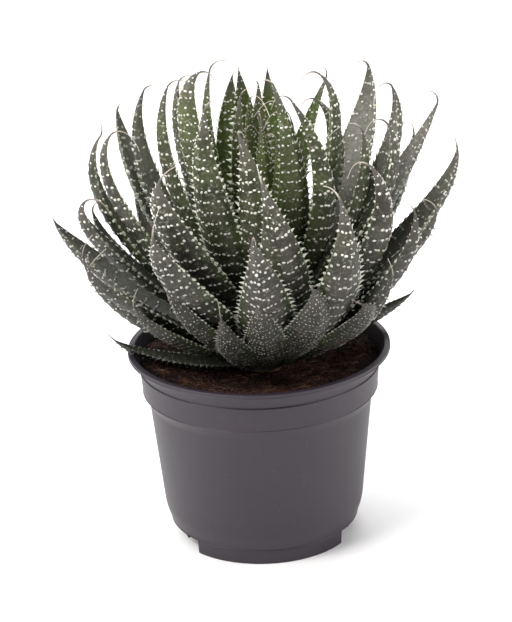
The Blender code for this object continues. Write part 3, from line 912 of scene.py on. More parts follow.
@dataclass
class Leaf:
    """One leaf: a hollowed, keeled blade that runs out into a curling awn."""

    name: str
    plan: LeafPlan
    look: TierLook
    stem: CrownStem
    seed: int

    SHARES = (0.0, 0.13, 0.30, 0.50, 0.70, 0.86, 1.0)
    BREADTHS = (0.45, 0.78, 1.00, 0.88, 0.60, 0.30, 0.050)
    KEELS = (0.40, 0.42, 0.50, 0.60, 0.72, 0.85, 0.95)
    HOLLOW = 0.26
    HOLLOW_POWER = 1.8
    BELLY_POWERS = (1.9, 0.86)
    RIDGE = 0.06
    RIDGE_HALF = 0.13
    ROUND_FROM = 0.93
    ROUND_MOST = 0.7
    STATIONS = 40
    AWN_STEPS = 14
    UPPER_STEPS = 8
    LOWER_STEPS = 14
    AROUND = UPPER_STEPS + LOWER_STEPS
    KEEL_INDEX = UPPER_STEPS + LOWER_STEPS // 2
    TWIST = 9
    WANDER = 0.4 * MM
    RIPPLE = 0.42 * MM
    ROW_CROWDING = 1.25
    AWN_DRIFT = 0.35
    AWN_START = 0.9
    AWN_TAPER = 3.2
    AWN_SWELL = 0.09 * MM
    AWN_END = 0.12 * MM
    TOOTH_SHARES = (0.0, 0.08, 0.25, 0.55, 0.80, 0.95, 1.0)
    TOOTH_SIZES = (0.30, 0.65, 1.00, 0.95, 0.60, 0.35, 0.20)
    TOOTH_DROOP = 0.12
    KEEL_TEETH = (0.76, 0.97)
    MARGIN_TEETH = (0.05, 0.965)
    CREASE = 48
    SCRATCH_DATA = ("rim", "outward", "forward", "tooth", "breadth")

    def section(self, half: float, keel: float, ripple: float, flow: float) -> list[tuple[float, float]]:
        """Points round a section: the upper face from +side to -side, then the lower one back.

        Args:
            half: half of the width.
            keel: depth of the keel as a share of the half-width.
            ripple: swelling of the lower face.
            flow: share of the way from the leaf's section to a round one.

        Returns:
            Offsets to the side and upwards.
        """
        deep = half * keel
        points = []
        for i in range(self.UPPER_STEPS):
            s = 1 - 2 * i / self.UPPER_STEPS
            points.append((half * s, -half * self.HOLLOW * (1 - abs(s) ** self.HOLLOW_POWER)))
        first, second = self.BELLY_POWERS
        for i in range(self.LOWER_STEPS):
            s = -1 + 2 * i / self.LOWER_STEPS
            fall = (1 - abs(s) ** first) ** second + self.RIDGE * math.exp(-(s / self.RIDGE_HALF) ** 2)
            points.append((half * s, -deep * fall - ripple * (1 - s ** 4)))
        if flow > 0.0:
            for i, (x, y) in enumerate(points):
                angle = self.angle(i)
                points[i] = (x + (half * math.cos(angle) - x) * flow, y + (half * math.sin(angle) - y) * flow)
        return points

    def angle(self, index: int) -> float:
        """Angle of a section's point on a round section."""
        return 2 * math.pi * self.across(index)

    def across(self, index: int) -> float:
        """U coordinate of a section's point: below 0.5 on the upper face, above it on the lower."""
        if index <= self.UPPER_STEPS:
            return 0.5 * index / self.UPPER_STEPS
        return 0.5 + 0.5 * (index - self.UPPER_STEPS) / self.LOWER_STEPS

    def ring(self, share: float, way: float, rows: int, wander: Sequence[float],
             here: Pose) -> list[SkinPoint]:
        """One ring of the blade's skin.

        Args:
            share: the spine's parameter.
            way: share of the blade's length.
            rows: number of rows of spots on the blade.
            wander: four random numbers that bend the blade a little.
            here: the spine's place and frame.

        Returns:
            The ring's points.
        """
        position, along, side, upper = here
        breadth = curve_through(share, self.SHARES, self.BREADTHS)
        keel = curve_through(share, self.SHARES, self.KEELS)
        half = self.plan.width * MM / 2 * breadth
        turn = 1 - max(1 - way, 0.0) ** (1 / self.ROW_CROWDING)
        wave = 0.5 + 0.5 * math.cos(2 * math.pi * (turn * rows - 0.5))
        bend = wander[0] * math.sin(5 * share + 3 * wander[1]) + 0.5 * wander[2] * math.sin(11 * share)
        position = position + side * (bend * self.WANDER * share)
        size = curve_through(share, self.TOOTH_SHARES, self.TOOTH_SIZES) * self.look.tooth * MM
        flow = max(0.0, (share - self.ROUND_FROM) / (1 - self.ROUND_FROM)) ** 2 * self.ROUND_MOST
        ripple = self.RIPPLE * wave * min(1.0, breadth * 2)
        points = []
        for i, (x, y) in enumerate(self.section(half, keel, ripple, flow)):
            margin = i in (0, self.UPPER_STEPS)
            low, high = self.MARGIN_TEETH if margin else self.KEEL_TEETH
            outward = side * (1.0 if i == 0 else -1.0) - upper * self.TOOTH_DROOP if margin else -upper
            rim = (margin or i == self.KEEL_INDEX) and low <= share <= high
            points.append(SkinPoint(position + side * x + upper * y, way, outward, along, float(margin),
                                    breadth=2 * half, tooth=size, rim=rim))
        return points

    def blade(self, material: Material) -> Object:
        """Make the bare blade and awn, with the attributes that the relief and the finish read.

        Args:
            material: the leaf's finish.

        Returns:
            The blade's object.
        """
        rng = np.random.default_rng(self.seed)
        twist = math.radians(rng.uniform(-self.TWIST, self.TWIST))
        spine = Spine(self.plan, self.stem, twist, rng.uniform(-self.AWN_DRIFT, self.AWN_DRIFT))
        wander = rng.uniform(-1, 1, 4)
        shares = [k / self.STATIONS for k in range(self.STATIONS + 1)]
        frames = [spine.blade(share) for share in shares]
        travelled = np.cumsum([0.0] + [(b[0] - a[0]).length for a, b in zip(frames, frames[1:])])
        length = float(travelled[-1])
        points = []
        for share, way, here in zip(shares, travelled / length, frames):
            points += self.ring(share, way, self.rows(length), wander, here)
        start = self.plan.width * MM / 2 * self.BREADTHS[-1] * self.AWN_START
        for share, position, side, upper in spine.awn_frames(self.AWN_STEPS):
            taper = (1 - share) ** self.AWN_TAPER
            radius = self.AWN_END + (start - self.AWN_END) * taper + self.AWN_SWELL * (1 - share)
            for i in range(self.AROUND):
                spoke = side * math.cos(self.angle(i)) + upper * math.sin(self.angle(i))
                way = 1 + share * spine.awn / length
                points.append(SkinPoint(position + spoke * radius, way, side, side, awn=share))
        return self.mesh_object(points, material)

    def rows(self, length: float) -> int:
        """Number of rows of spots on a length."""
        return round(length / (self.look.row_pitch * MM))

    def mesh_object(self, points: list[SkinPoint], material: Material) -> Object:
        """Join rings of points into the closed skin of a leaf.

        Args:
            points: the rings' points, ring after ring.
            material: the leaf's finish.

        Returns:
            The object.
        """
        count = self.AROUND
        last = len(points) - count
        faces, coords = [], []
        for start in range(0, last, count):
            for i in range(count):
                j = (i + 1) % count
                faces.append((start + i, start + j, start + count + j, start + count + i))
                for index, ring in ((i, start), (i + 1, start), (i + 1, start + count), (i, start + count)):
                    coords.append((self.across(index), points[ring].way))
        faces.append(tuple(range(count - 1, -1, -1)))
        faces.append(tuple(range(last, last + count)))
        coords += [(0.0, points[0].way)] * count + [(0.0, points[-1].way)] * count
        mesh = bpy.data.meshes.new(self.name)
        mesh.from_pydata([point.place for point in points], [], faces)
        mesh.uv_layers.new(name="UVMap").data.foreach_set("uv", np.array(coords, np.float32).ravel())
        keys = ("margin", "awn", "breadth", "tooth", "rim", "outward", "forward")
        data = {key: [getattr(point, key) for point in points] for key in keys}
        data["green"] = [self.look.green if self.plan.green is None else self.plan.green] * len(points)
        data["young"] = [self.look.young] * len(points)
        for key, values in data.items():
            kind = {"rim": "BOOLEAN", "outward": "FLOAT_VECTOR", "forward": "FLOAT_VECTOR"}.get(key, "FLOAT")
            field = "vector" if kind == "FLOAT_VECTOR" else "value"
            mesh.attributes.new(key, kind, "POINT").data.foreach_set(field, np.array(values).ravel())
        mesh.shade_smooth()
        mesh.set_sharp_from_angle(angle=math.radians(self.CREASE))
        return new_object(self.name, mesh, material)

    def build(self, relief: "LeafRelief", material: Material) -> Object:
        """Make the finished leaf with its spots and teeth.

        Args:
            relief: what stands out from the skin.
            material: the leaf's finish.

        Returns:
            The leaf as one plain mesh.
        """
        bare = self.blade(material)
        margin = [bare.data.vertices[k * self.AROUND].co for k in range(self.STATIONS + 1)]
        rows = self.rows(sum((b - a).length for a, b in zip(margin, margin[1:])))
        relief.apply(bare, self.look, rows, self.seed)
        leaf = plain_mesh(bare, self.name)
        for key in self.SCRATCH_DATA:
            layer = leaf.data.attributes.get(key)
            if layer is not None:
                leaf.data.attributes.remove(layer)
        return leaf


class LeafRelief:
    """What stands out from the skin: rows of raised spots, and teeth on the margins and keel."""

    MOST_IN_ROW = 18
    SPOT_SEGMENTS = 6
    SPOT_RINGS = 3
    SPOT_HEIGHT = 0.62
    SPOT_SPREADS = ((0.65, 1.15), (0.80, 1.40), (0.70, 1.10))
    SPOT_WOBBLE = 0.9 * MM
    UPPER_FACE = 0.0
    LOWER_FACE = 0.5
    FACE_SPAN = 0.5
    LOWER_MISSING = 0.10
    TOOTH_SIDES = 6
    TOOTH_RADIUS = 0.44
    TOOTH_LENGTH = 1.15
    TOOTH_SINK = 0.15
    TOOTH_FLATNESS = 0.5

    def __init__(self, spot: Material, tooth: Material) -> None:
        """Build the node groups once, for all the leaves."""
        self.spots = self.spot_rows(spot)
        self.teeth = self.tooth_rows(tooth)

    def apply(self, leaf: Object, look: TierLook, rows: int, seed: int) -> None:
        """Add the relief's modifiers to a bare leaf.

        Args:
            leaf: the bare leaf.
            look: sizes of the relief.
            rows: number of rows of spots on each face.
            seed: seed of the leaf.
        """
        grow(leaf, self.teeth, Pitch=look.tooth_pitch * MM, Seed=seed)
        grow(leaf, self.spots, Rows=rows, Pitch=look.spot_pitch * MM, Radius=look.spot_radius * MM,
             Inner_Missing=look.inner_missing, Seed=seed)

    def spot_rows(self, material: Material) -> NodeTree:
        """Node group that lays rows of spots on both faces of a leaf.

        Args:
            material: finish of the spots.

        Returns:
            The group.
        """
        g = Growth("raised_spots", Rows=20, Pitch=0.002, Radius=0.0006, Inner_Missing=0.6, Seed=1)
        bead = g.out("GeometryNodeMeshUVSphere", {"Segments": self.SPOT_SEGMENTS, "Rings": self.SPOT_RINGS,
                                                  "Radius": 1.0})
        bead = g.out("GeometryNodeTransform", {"Geometry": bead, "Scale": (1.0, 1.0, self.SPOT_HEIGHT)})
        lower = self.face_of_spots(g, bead, self.LOWER_FACE, self.LOWER_MISSING, 0)
        upper = self.face_of_spots(g, bead, self.UPPER_FACE, g.given("Inner Missing"), 50)
        spots = g.out("GeometryNodeRealizeInstances", {0: g.join(upper, lower)})
        return g.finish(g.shaken(spots, 900.0, 1.0, self.SPOT_WOBBLE), material)

    def face_of_spots(self, g: Growth, bead: Wire, face: float, missing: object, salt: int) -> Wire:
        """Rows of spots on one face, as instances.

        Args:
            g: the group.
            bead: shape of a spot with a radius of 1.
            face: U coordinate where the face begins.
            missing: share of the spots left out.
            salt: added to the seed.

        Returns:
            The instances.
        """
        rows, index = g.given("Rows"), g.out("GeometryNodeInputIndex")
        row = g.maths("FLOOR", index / float(self.MOST_IN_ROW))
        column = g.maths("FLOORED_MODULO", index, float(self.MOST_IN_ROW))
        left = 1.0 - (row + 0.5) / rows
        way = 1.0 - g.maths("POWER", left, Leaf.ROW_CROWDING)
        breadth = g.sample(g.stored("breadth"), face + 0.26, way, "FLOAT")[0]
        columns = g.maths("ROUND", breadth / g.given("Pitch") + g.chance(-0.6, 0.6, salt + 1, row))
        columns = g.maths("MAXIMUM", columns, 1.0)
        across = (column + 0.5 + g.chance(-0.24, 0.24, salt + 2, index)) / columns * self.FACE_SPAN + face
        shifted = way + g.chance(-0.15, 0.15, salt + 3, index) / rows
        position, found = g.sample(g.out("GeometryNodeInputPosition"), across, shifted)
        normal = g.sample(g.out("GeometryNodeInputNormal"), across, shifted)[0]
        forward = g.sample(g.stored("forward", "FLOAT_VECTOR"), across, way)[0]
        dropped = g.maths("LESS_THAN", g.chance(0.0, 1.0, salt + 4, index), missing)
        dropped = g.maths("MAXIMUM", g.maths("GREATER_THAN", column, columns - 0.5), dropped)
        dropped = g.maths("MAXIMUM", dropped, 1.0 - found)
        points = g.out("GeometryNodePoints", {"Count": rows * float(self.MOST_IN_ROW), "Position": position})
        radius = g.given("Radius") * g.maths("MINIMUM", breadth * 90.0 + 0.35, 1.0)
        spreads = enumerate(self.SPOT_SPREADS, salt + 5)
        sizes = [radius * g.chance(*limits, own_salt, index) for own_salt, limits in spreads]
        return g.copies(points, bead, g.turned(normal, forward), g.join_axes(*sizes),
                        g.maths("LESS_THAN", dropped, 0.5))

    def tooth_rows(self, material: Material) -> NodeTree:
        """Node group that sets teeth along a leaf's margins and keel.

        Args:
            material: finish of the teeth.

        Returns:
            The group.
        """
        g = Growth("margin_teeth", Pitch=0.0026, Seed=1)
        line = g.out("GeometryNodeMeshToCurve", {"Mesh": g.mesh, "Selection": g.stored("rim", "BOOLEAN")})
        line = g.out("GeometryNodeResampleCurve", {"Curve": line, "Length": g.given("Pitch")}, mode="LENGTH")
        tooth = g.out("GeometryNodeMeshCone", {
            "Vertices": self.TOOTH_SIDES, "Side Segments": 1, "Fill Segments": 1, "Radius Top": 0.0,
            "Radius Bottom": self.TOOTH_RADIUS, "Depth": self.TOOTH_LENGTH}, fill_type="NGON")
        tooth = g.out("GeometryNodeTransform", {
            "Geometry": tooth, "Translation": (0.0, 0.0, -self.TOOTH_SINK),
            "Scale": (1.0, self.TOOTH_FLATNESS, 1.0)})
        index, forward = g.out("GeometryNodeInputIndex"), g.stored("forward", "FLOAT_VECTOR")
        lean = g.vector("SCALE", forward, g.chance(0.25, 1.00, 20, index))
        lean = g.vector("ADD", lean, g.stored("outward", "FLOAT_VECTOR"))
        size = g.stored("tooth") * g.chance(0.65, 1.15, 21, index)
        return g.finish(g.copies(line, tooth, g.turned(lean, forward), size), material, smooth=False)


class Rosette:
    """The plant: its stem and six tiers of leaves."""

    def __init__(self) -> None:
        """Set up the stem and the finishes."""
        self.stem = CrownStem()
        self.skin = SkinFinish().build()
        self.relief = LeafRelief(
            PearlFinish("spot_pearl", (0.92, 0.91, 0.83), (0.52, 0.51, 0.43)).build(),
            PearlFinish("tooth_horn", (0.88, 0.88, 0.76), (0.54, 0.55, 0.42)).build())

    def build(self) -> None:
        """Make the stem and every leaf; the young leaves stand for no node."""
        fibre = CrumbFinish("stem_fibre", (0.10, 0.085, 0.035), (0.24, 0.20, 0.09), 240.0, 0.3 * MM, 0.75)
        hand_over(self.stem.build(fibre.build()), Slot.FIBRE, "crown_stem")
        seed = 0
        for tier, plans in ROSETTE.items():
            for number, plan in enumerate(plans, start=1):
                seed += 1
                nodes = () if tier is Tier.YOUNG else (f"{tier.value}_leaf_{number:02d}",)
                leaf = Leaf(f"{tier.value}_blade_{number:02d}", plan, TIER_LOOKS[tier], self.stem, seed)
                hand_over(leaf.build(self.relief, self.skin), Slot.SKIN, *nodes)


# The pot and its soil


@dataclass(frozen=True)
class Pot:
    """Moulded nursery pot: rolled rim, collar, tapered wall, notched foot ring and drain holes."""

    height: float = 91.0 * MM
    rim_radius: float = 60.0 * MM
    rim_inner: float = 57.2 * MM
    flange: float = 1.9 * MM
    collar_top: float = 82.3 * MM
    collar_top_radius: float = 54.9 * MM
    ledge: float = 0.3 * MM
    collar_bottom: float = 71.0 * MM
    collar_bottom_radius: float = 53.9 * MM
    wall_top: float = 66.5 * MM
    wall_top_radius: float = 51.2 * MM
    heel: float = 14.5 * MM
    heel_radius: float = 46.0 * MM
    wall_bottom_radius: float = 43.6 * MM
    wall: float = 1.2 * MM
    foot: float = 6.8 * MM
    foot_top_radius: float = 43.0 * MM
    foot_radius: float = 42.6 * MM
    foot_width: float = 1.8 * MM
    plate: float = 1.4 * MM
    notches: tuple[float, ...] = (183.5, 4.5)
    notch_span: float = 80.0
    notch_height: float = 6.5 * MM
    notch_steps: int = 24
    fin_offsets: tuple[float, ...] = (-26.0, 0.0, 26.0)
    fin_thickness: float = 1.2 * MM
    fin_reach: float = 4.0 * MM
    fin_inset: float = 0.3 * MM
    fin_drop: float = 3.4 * MM
    fin_tip: float = 0.8 * MM
    bead: float = 0.22 * MM
    hole_radius: float = 4.0 * MM
    hole_ring: float = 28.0 * MM
    hole_sides: int = 32
    holes: int = 6
    sides: int = 192
    round_steps: int = 4
    crease: float = 40.0

    def inner_radius(self, height: float) -> float:
        """Radius of the inner wall.

        Args:
            height: where it is read.

        Returns:
            The radius.
        """
        stations = (self.foot, self.heel, self.wall_top, self.collar_bottom, self.collar_top, self.height)
        outside = (self.wall_bottom_radius, self.heel_radius, self.wall_top_radius, self.collar_bottom_radius,
                   self.collar_top_radius - self.ledge)
        radii = [radius - self.wall for radius in outside] + [self.rim_inner]
        return float(np.interp(height, stations, radii))

    def profile(self) -> list[Triple]:
        """Corners of the turned outline from the axis round the outside and back.

        Returns:
            Radius, height and rounding of each corner.
        """
        soft, fine, sharp = 0.7 * MM, 0.35 * MM, 0.0
        under = self.height - self.flange
        foot_inner = self.foot_radius - self.foot_width
        return [
            (0.0, self.foot, sharp),
            (foot_inner, self.foot, fine),
            (foot_inner, 0.0, fine),
            (self.foot_radius, 0.0, fine),
            (self.foot_top_radius, self.foot - self.bead, 0.1 * MM),
            *self.seam(self.wall_bottom_radius, self.foot + 0.5 * MM),
            (self.heel_radius, self.heel, 4.0 * MM),
            (self.wall_top_radius, self.wall_top, 1.2 * MM),
            *self.seam(self.collar_bottom_radius, self.collar_bottom),
            *self.seam(self.collar_top_radius, self.collar_top - self.bead),
            (self.collar_top_radius - self.ledge, self.collar_top + self.bead, 0.2 * MM),
            (self.rim_inner - 0.4 * MM, under - 0.3 * MM, 1.0 * MM),
            *self.seam(self.rim_radius - self.bead, under + self.bead),
            (self.rim_radius, self.height, soft),
            (self.rim_inner, self.height, soft),
            (self.collar_top_radius - self.ledge - self.wall, self.collar_top, soft),
            (self.collar_bottom_radius - self.wall, self.collar_bottom, soft),
            (self.wall_top_radius - self.wall, self.wall_top, soft),
            (self.heel_radius - self.wall, self.heel, 4.0 * MM),
            (self.wall_bottom_radius - self.wall, self.foot + self.plate, 1.0 * MM),
            (0.0, self.foot + self.plate, sharp),
        ]

    def seam(self, radius: float, height: float) -> list[Triple]:
        """Corners of the fine raised line that the mould leaves at a height."""
        return [(radius, height - 1.2 * self.bead, 0.05 * MM),
                (radius + self.bead, height - 0.3 * self.bead, 0.08 * MM),
                (radius, height + 1.2 * self.bead, 0.05 * MM)]

    def outline(self) -> list[Vector]:
        """Round the profile's corners.

        Returns:
            Radius and height of each point.
        """
        corners = self.profile()
        points = [Vector(corners[0][:2])]
        for before, corner, after in zip(corners, corners[1:], corners[2:]):
            here = Vector(corner[:2])
            back, on = Vector(before[:2]) - here, Vector(after[:2]) - here
            reach = min(corner[2], back.length * 0.45, on.length * 0.45)
            start, end = here + back.normalized() * reach, here + on.normalized() * reach
            for k in range(self.round_steps + 1):
                t = k / self.round_steps
                points.append(start * (1 - t) ** 2 + here * (2 * t * (1 - t)) + end * t ** 2)
        points.append(Vector(corners[-1][:2]))
        return points

    def shell(self, material: Material) -> Object:
        """Turn the outline into a closed shell.

        Args:
            material: finish of the pot.

        Returns:
            The shell.
        """
        outline = self.outline()
        low, high = ([Vector((0.0, 0.0, end.y))] for end in (outline[0], outline[-1]))
        rings = [circle(point.x, point.y, self.sides) for point in outline[1:-1]]
        return loft("nursery_pot", [low, *rings, high], material)

    def notch(self, azimuth: float) -> Object:
        """Cutter for a notch of the foot ring.

        Args:
            azimuth: direction of the notch's middle, in degrees.

        Returns:
            The cutter.
        """
        inner, outer = self.foot_radius - 2 * self.foot_width, self.foot_radius + self.foot_width
        corners = ((inner, -MM), (outer, -MM), (outer, self.notch_height), (inner, self.notch_height))
        loops = []
        for i in range(self.notch_steps + 1):
            a = math.radians(azimuth + self.notch_span * (i / self.notch_steps - 0.5))
            loops.append([Vector((r * math.cos(a), r * math.sin(a), z)) for r, z in corners])
        return loft("notch", loops)

    def drain_hole(self, azimuth: float) -> Object:
        """Cutter for a drain hole.

        Args:
            azimuth: direction of the hole, in radians.

        Returns:
            The cutter.
        """
        centre = (self.hole_ring * math.cos(azimuth), self.hole_ring * math.sin(azimuth))
        middle = self.foot + self.plate / 2
        levels = (middle - 2 * self.plate, middle + 2 * self.plate)
        return loft("hole", [circle(self.hole_radius, level, self.hole_sides, centre) for level in levels])

    def fin(self, azimuth: float) -> Object:
        """Small pointed fin that hangs under the plate in a notch.

        Args:
            azimuth: direction of the fin, in degrees.

        Returns:
            The fin.
        """
        outer = self.foot_top_radius - self.fin_inset
        inner = outer - self.fin_reach
        middle = (inner + outer) / 2
        tip = self.fin_tip / 2
        levels = (
            (inner, outer, 1.0, self.foot + self.plate / 2),
            (inner, outer, 1.0, self.foot - self.fin_inset),
            ((inner + middle) / 2, (outer + middle) / 2, 0.8, self.foot - self.fin_drop * 0.6),
            (middle - tip, middle + tip, 0.45, self.foot - self.fin_drop),
        )
        turn = Matrix.Rotation(math.radians(azimuth), 3, "Z")
        rings = []
        for near, far, thin, height in levels:
            half = self.fin_thickness / 2 * thin
            corners = ((near, -half), (far, -half), (far, half), (near, half))
            rings.append([turn @ Vector((x, y, height)) for x, y in corners])
        return loft("fin", rings)

    def combine(self, body: Object, operands: list[Object], operation: str) -> Object:
        """Apply one Boolean with several operands, and remove them.

        Args:
            body: the object that changes.
            operands: the other objects.
            operation: DIFFERENCE or UNION.

        Returns:
            The result.
        """
        group = bpy.data.collections.new("operands")
        for operand in operands:
            group.objects.link(operand)
        cut = body.modifiers.new("cut", "BOOLEAN")
        cut.operation = operation
        cut.operand_type = "COLLECTION"
        cut.collection = group
        result = plain_mesh(body, body.name)
        for operand in operands:
            bpy.data.objects.remove(operand, do_unlink=True)
        bpy.data.collections.remove(group)
        return result

    def build(self) -> None:
        """Make the pot and hand it over."""
        body = self.shell(PlasticFinish().build())
        cutters = [self.notch(azimuth) for azimuth in self.notches]
        cutters += [self.drain_hole(2 * math.pi * (i + 0.5) / self.holes) for i in range(self.holes)]
        body = self.combine(body, cutters, "DIFFERENCE")
        fins = [self.fin(azimuth + offset) for azimuth in self.notches for offset in self.fin_offsets]
        body = self.combine(body, fins, "UNION")
        body.data.shade_smooth()
        body.data.set_sharp_from_angle(angle=math.radians(self.crease))
        hand_over(body, Slot.PLASTIC, "pot")


@dataclass(frozen=True)
class SoilBed:
    """Peat that fills the pot, with loose crumbs and coir fibres on top."""

    pot: Pot
    middle: float = 79.0 * MM
    bank: float = 6.3 * MM
    bank_from: float = 0.40
    bank_to: float = 0.95
    lump: float = 1.7 * MM
    gap: float = 0.3 * MM
    sides: int = 180
    rings: int = 64
    crumbs: int = 2600
    fibres: int = 2050
    tan_share: float = 0.15

    SPREADS = {
        Litter.CRUMB: (((0.0, 0.0, 0.0), (6.28, 6.28, 6.28)), ((0.4, 0.4, 0.3), (1.7, 1.3, 1.1))),
        Litter.FIBRE: (((-0.35, -0.30, 0.0), (0.35, 0.30, 6.28)), ((0.35, -1.0, 0.2), (1.0, 1.0, 1.0))),
    }

    def height(self, x: float, y: float) -> float:
        """Height of the crumbly surface at a place.

        Args:
            x: place to the right of the axis.
            y: place behind the axis.

        Returns:
            The height.
        """
        share = math.hypot(x, y) / self.pot.inner_radius(self.middle + self.bank)
        climb = min(max((share - self.bank_from) / (self.bank_to - self.bank_from), 0.0), 1.0)
        place = Vector((x, y, 0.0))
        lumps = noise.fractal(place * 85.0, 0.8, 2.1, 4) + 0.5 * noise.noise(place * 420.0)
        return self.middle + self.bank * climb * climb * (3 - 2 * climb) + self.lump * 0.5 * lumps

    def bed(self, material: Material) -> Object:
        """Make the solid bed, with the faces marked that the loose pieces lie on.

        Args:
            material: finish of the peat.

        Returns:
            The bed.
        """
        pot, gap = self.pot, self.gap
        bottom = pot.foot + pot.plate + gap
        walls = ((bottom, bottom), (pot.heel, pot.heel + gap), (pot.wall_top, pot.wall_top),
                 (pot.collar_bottom, pot.collar_bottom + gap), (pot.collar_top, pot.collar_top + gap))
        rings = [circle(pot.inner_radius(at) - 2 * gap, height, self.sides) for at, height in walls]
        edge = pot.inner_radius(self.middle + self.bank - self.lump) - gap
        for k in range(self.rings):
            flat = circle(edge * (1 - k / self.rings), 0.0, self.sides)
            rings.append([Vector((point.x, point.y, self.height(point.x, point.y))) for point in flat])
        bed = loft("soil_bed", rings, material)
        bed.data.shade_smooth()
        open_faces = [face.normal.z > 0.2 and face.center.z > pot.wall_top for face in bed.data.polygons]
        bed.data.attributes.new("open", "BOOLEAN", "FACE").data.foreach_set("value", open_faces)
        return bed

    def litter(self, name: str, kind: Litter, material: Material) -> NodeTree:
        """Node group that strews loose pieces over the bed.

        Args:
            name: name of the group.
            kind: kind of the pieces.
            material: finish of the pieces.

        Returns:
            The group.
        """
        g = Growth(name, Density=1.0, Size=0.001, Reach=0.05, Seed=1)
        flat = g.vector("MULTIPLY", g.out("GeometryNodeInputPosition"), (1.0, 1.0, 0.0))
        near = g.maths("LESS_THAN", g.vector("LENGTH", flat), g.given("Reach"))
        points = g.out("GeometryNodeDistributePointsOnFaces", {
            "Mesh": g.mesh, "Selection": g.stored("open", "BOOLEAN") * near, "Density": g.given("Density"),
            "Seed": g.given("Seed")})
        shape = self.crumb(g) if kind is Litter.CRUMB else self.fibre(g)
        turns, stretches = self.SPREADS[kind]
        size = g.vector("SCALE", g.chance(*stretches, 2), g.given("Size"))
        return g.finish(g.copies(points, shape, g.chance(*turns, 1), size), material)

    def crumb(self, g: Growth) -> Wire:
        """A knobbly crumb about 2 across."""
        ball = g.out("GeometryNodeMeshIcoSphere", {"Radius": 1.0, "Subdivisions": 1})
        return g.shaken(ball, 1.3, 2.0, 1.6)

    def fibre(self, g: Growth) -> Wire:
        """A bent fibre about 8 long.

        Args:
            g: the group.

        Returns:
            The fibre's mesh.
        """
        arc = g.out("GeometryNodeCurveQuadraticBezier", {"Resolution": 3, "Start": (-4.0, 0.0, 0.1),
                                                         "Middle": (0.4, 3.2, 1.6), "End": (4.0, -0.6, 0.2)})
        wire = g.out("GeometryNodeCurvePrimitiveCircle", {"Resolution": 3, "Radius": 0.13})
        return g.out("GeometryNodeCurveToMesh", {"Curve": arc, "Profile Curve": wire, "Fill Caps": True})

    def build(self) -> None:
        """Make the soil, strew its loose pieces and hand it over."""
        peat = CrumbFinish("peat", (0.004, 0.0025, 0.0025), (0.017, 0.009, 0.008), 320.0, 0.7 * MM)
        bark = CrumbFinish("bark_crumb", (0.007, 0.004, 0.004), (0.052, 0.022, 0.017), 150.0, 0.3 * MM)
        red = CrumbFinish("coir_red", (0.024, 0.009, 0.007), (0.120, 0.045, 0.029), 130.0, 0.1 * MM, 0.8)
        tan = CrumbFinish("coir_tan", (0.080, 0.046, 0.027), (0.250, 0.165, 0.098), 130.0, 0.1 * MM, 0.8)
        soil = self.bed(peat.build())
        reach = self.pot.inner_radius(self.middle + self.bank)
        area = math.pi * reach ** 2
        strewn = (
            ("bark_crumbs", Litter.CRUMB, bark, self.crumbs, 0.75 * MM, 1.6 * MM, 3),
            ("red_fibres", Litter.FIBRE, red, self.fibres, 0.85 * MM, 3.4 * MM, 5),
            ("tan_fibres", Litter.FIBRE, tan, self.tan_share * self.fibres, 0.95 * MM, 3.8 * MM, 8),
        )
        for name, kind, finish, count, size, inset, seed in strewn:
            grow(soil, self.litter(name, kind, finish.build()), Density=count / area, Size=size,
                 Reach=reach - inset, Seed=seed)
        hand_over(plain_mesh(soil, soil.name), Slot.PEAT, "soil")


# The studio


@dataclass(frozen=True)
class Lamp:
    """A soft square light."""

    name: str
    place: Triple
    size: float
    power: float
    colour: Triple = (1.0, 1.0, 1.0)
    target: Triple = (0.0, 0.0, 0.11)

    def build(self) -> None:
        """Add the light, turned to its target."""
        data = bpy.data.lights.new(self.name, "AREA")
        data.shape = "SQUARE"
        data.size = self.size
        data.energy = self.power
        data.color = self.colour
        lamp = new_object(self.name, data)
        lamp.location = self.place
        lamp.rotation_euler = (Vector(self.target) - Vector(self.place)).to_track_quat("-Z", "Y").to_euler()


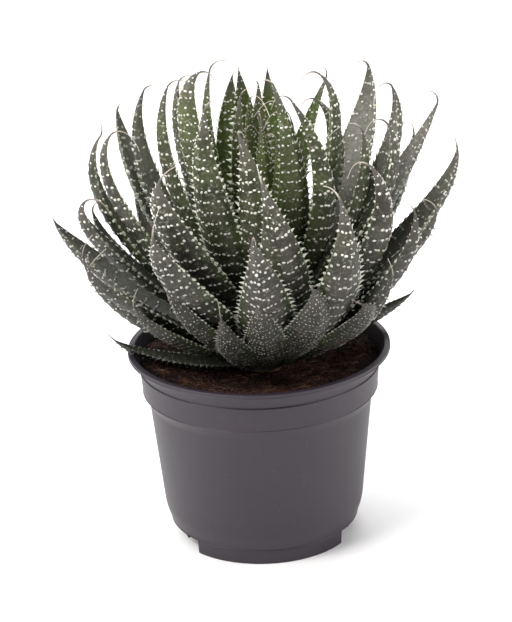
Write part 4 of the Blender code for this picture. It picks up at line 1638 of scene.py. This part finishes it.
@dataclass(frozen=True)
class Studio:
    """Pale floor, soft lights and the camera at the photograph's angle."""

    target: Triple = (-0.75 * MM, 0.0, 106.8 * MM)
    distance: float = 1.0
    elevation: float = 21.4
    roll: float = -2.1
    lens: float = 127.44
    sensor: float = 36.0
    clip: tuple[float, float] = (0.01, 50.0)
    floor_size: float = 12.0
    floor_colour: Triple = (0.93, 0.93, 0.93)
    sky: float = 0.34
    sun: float = 2.2
    sun_spread: float = 70.0
    sun_aim: Triple = (0.45, -0.25, -1.0)
    lamps: tuple[Lamp, ...] = (
        Lamp("key", (-1.1, -0.7, 1.3), 0.8, 26.0, (1.0, 0.985, 0.97)),
        Lamp("fill", (1.3, -0.3, 0.9), 0.8, 12.0, (1.0, 0.97, 0.98)),
        Lamp("back", (0.2, 1.2, 1.3), 1.0, 14.0),
    )

    def build(self) -> None:
        """Set up the floor, the lights and the camera."""
        self.floor()
        world = bpy.data.worlds.new("sky")
        world.use_nodes = True
        background = world.node_tree.nodes["Background"]
        background.inputs["Color"].default_value = (1.0, 1.0, 1.0, 1.0)
        background.inputs["Strength"].default_value = self.sky
        bpy.context.scene.world = world
        bpy.context.scene.view_settings.view_transform = "Standard"
        for lamp in self.lamps:
            lamp.build()
        self.overhead()
        self.camera()

    def overhead(self) -> None:
        """Hang a very wide, soft light over the whole floor."""
        data = bpy.data.lights.new("overhead", "SUN")
        data.energy = self.sun
        data.angle = math.radians(self.sun_spread)
        lamp = new_object("overhead", data)
        lamp.rotation_euler = Vector(self.sun_aim).to_track_quat("-Z", "Y").to_euler()

    def floor(self) -> None:
        """Lay a plain pale floor."""
        g = Shader("floor_paper")
        faded = tuple(0.98 * c for c in self.floor_colour)
        g.set(Base_Color=g.blend(g.noise(g.place(), 3.0, 2.0), self.floor_colour, faded), Roughness=0.9)
        half = self.floor_size / 2
        mesh = bpy.data.meshes.new("floor")
        mesh.from_pydata([(-half, -half, 0), (half, -half, 0), (half, half, 0), (-half, half, 0)], [],
                         [(0, 1, 2, 3)])
        new_object("floor", mesh, g.material)

    def camera(self) -> None:
        """Place the camera, with its small roll."""
        tilt, roll = math.radians(self.elevation), math.radians(self.roll)
        forward = Vector((0.0, math.cos(tilt), -math.sin(tilt)))
        right = Vector((1.0, 0.0, 0.0))
        up = right.cross(forward)
        across = right * math.cos(roll) + up * math.sin(roll)
        above = up * math.cos(roll) - right * math.sin(roll)
        data = bpy.data.cameras.new("camera")
        data.lens = self.lens
        data.sensor_width = self.sensor
        data.clip_start, data.clip_end = self.clip
        camera = new_object("camera", data)
        turn = Matrix((across, above, -forward)).transposed().to_4x4()
        camera.matrix_world = Matrix.Translation(Vector(self.target) - forward * self.distance) @ turn
        bpy.context.scene.camera = camera


def main() -> None:
    """Build the pot, the soil, the plant and the studio."""
    logging.basicConfig(level=logging.INFO, format="%(name)s: %(message)s")
    pot = Pot()
    rosette = Rosette()
    pot.build()
    SoilBed(pot).build()
    rosette.build()
    Studio().build()


if __name__ == "__main__":
    main()
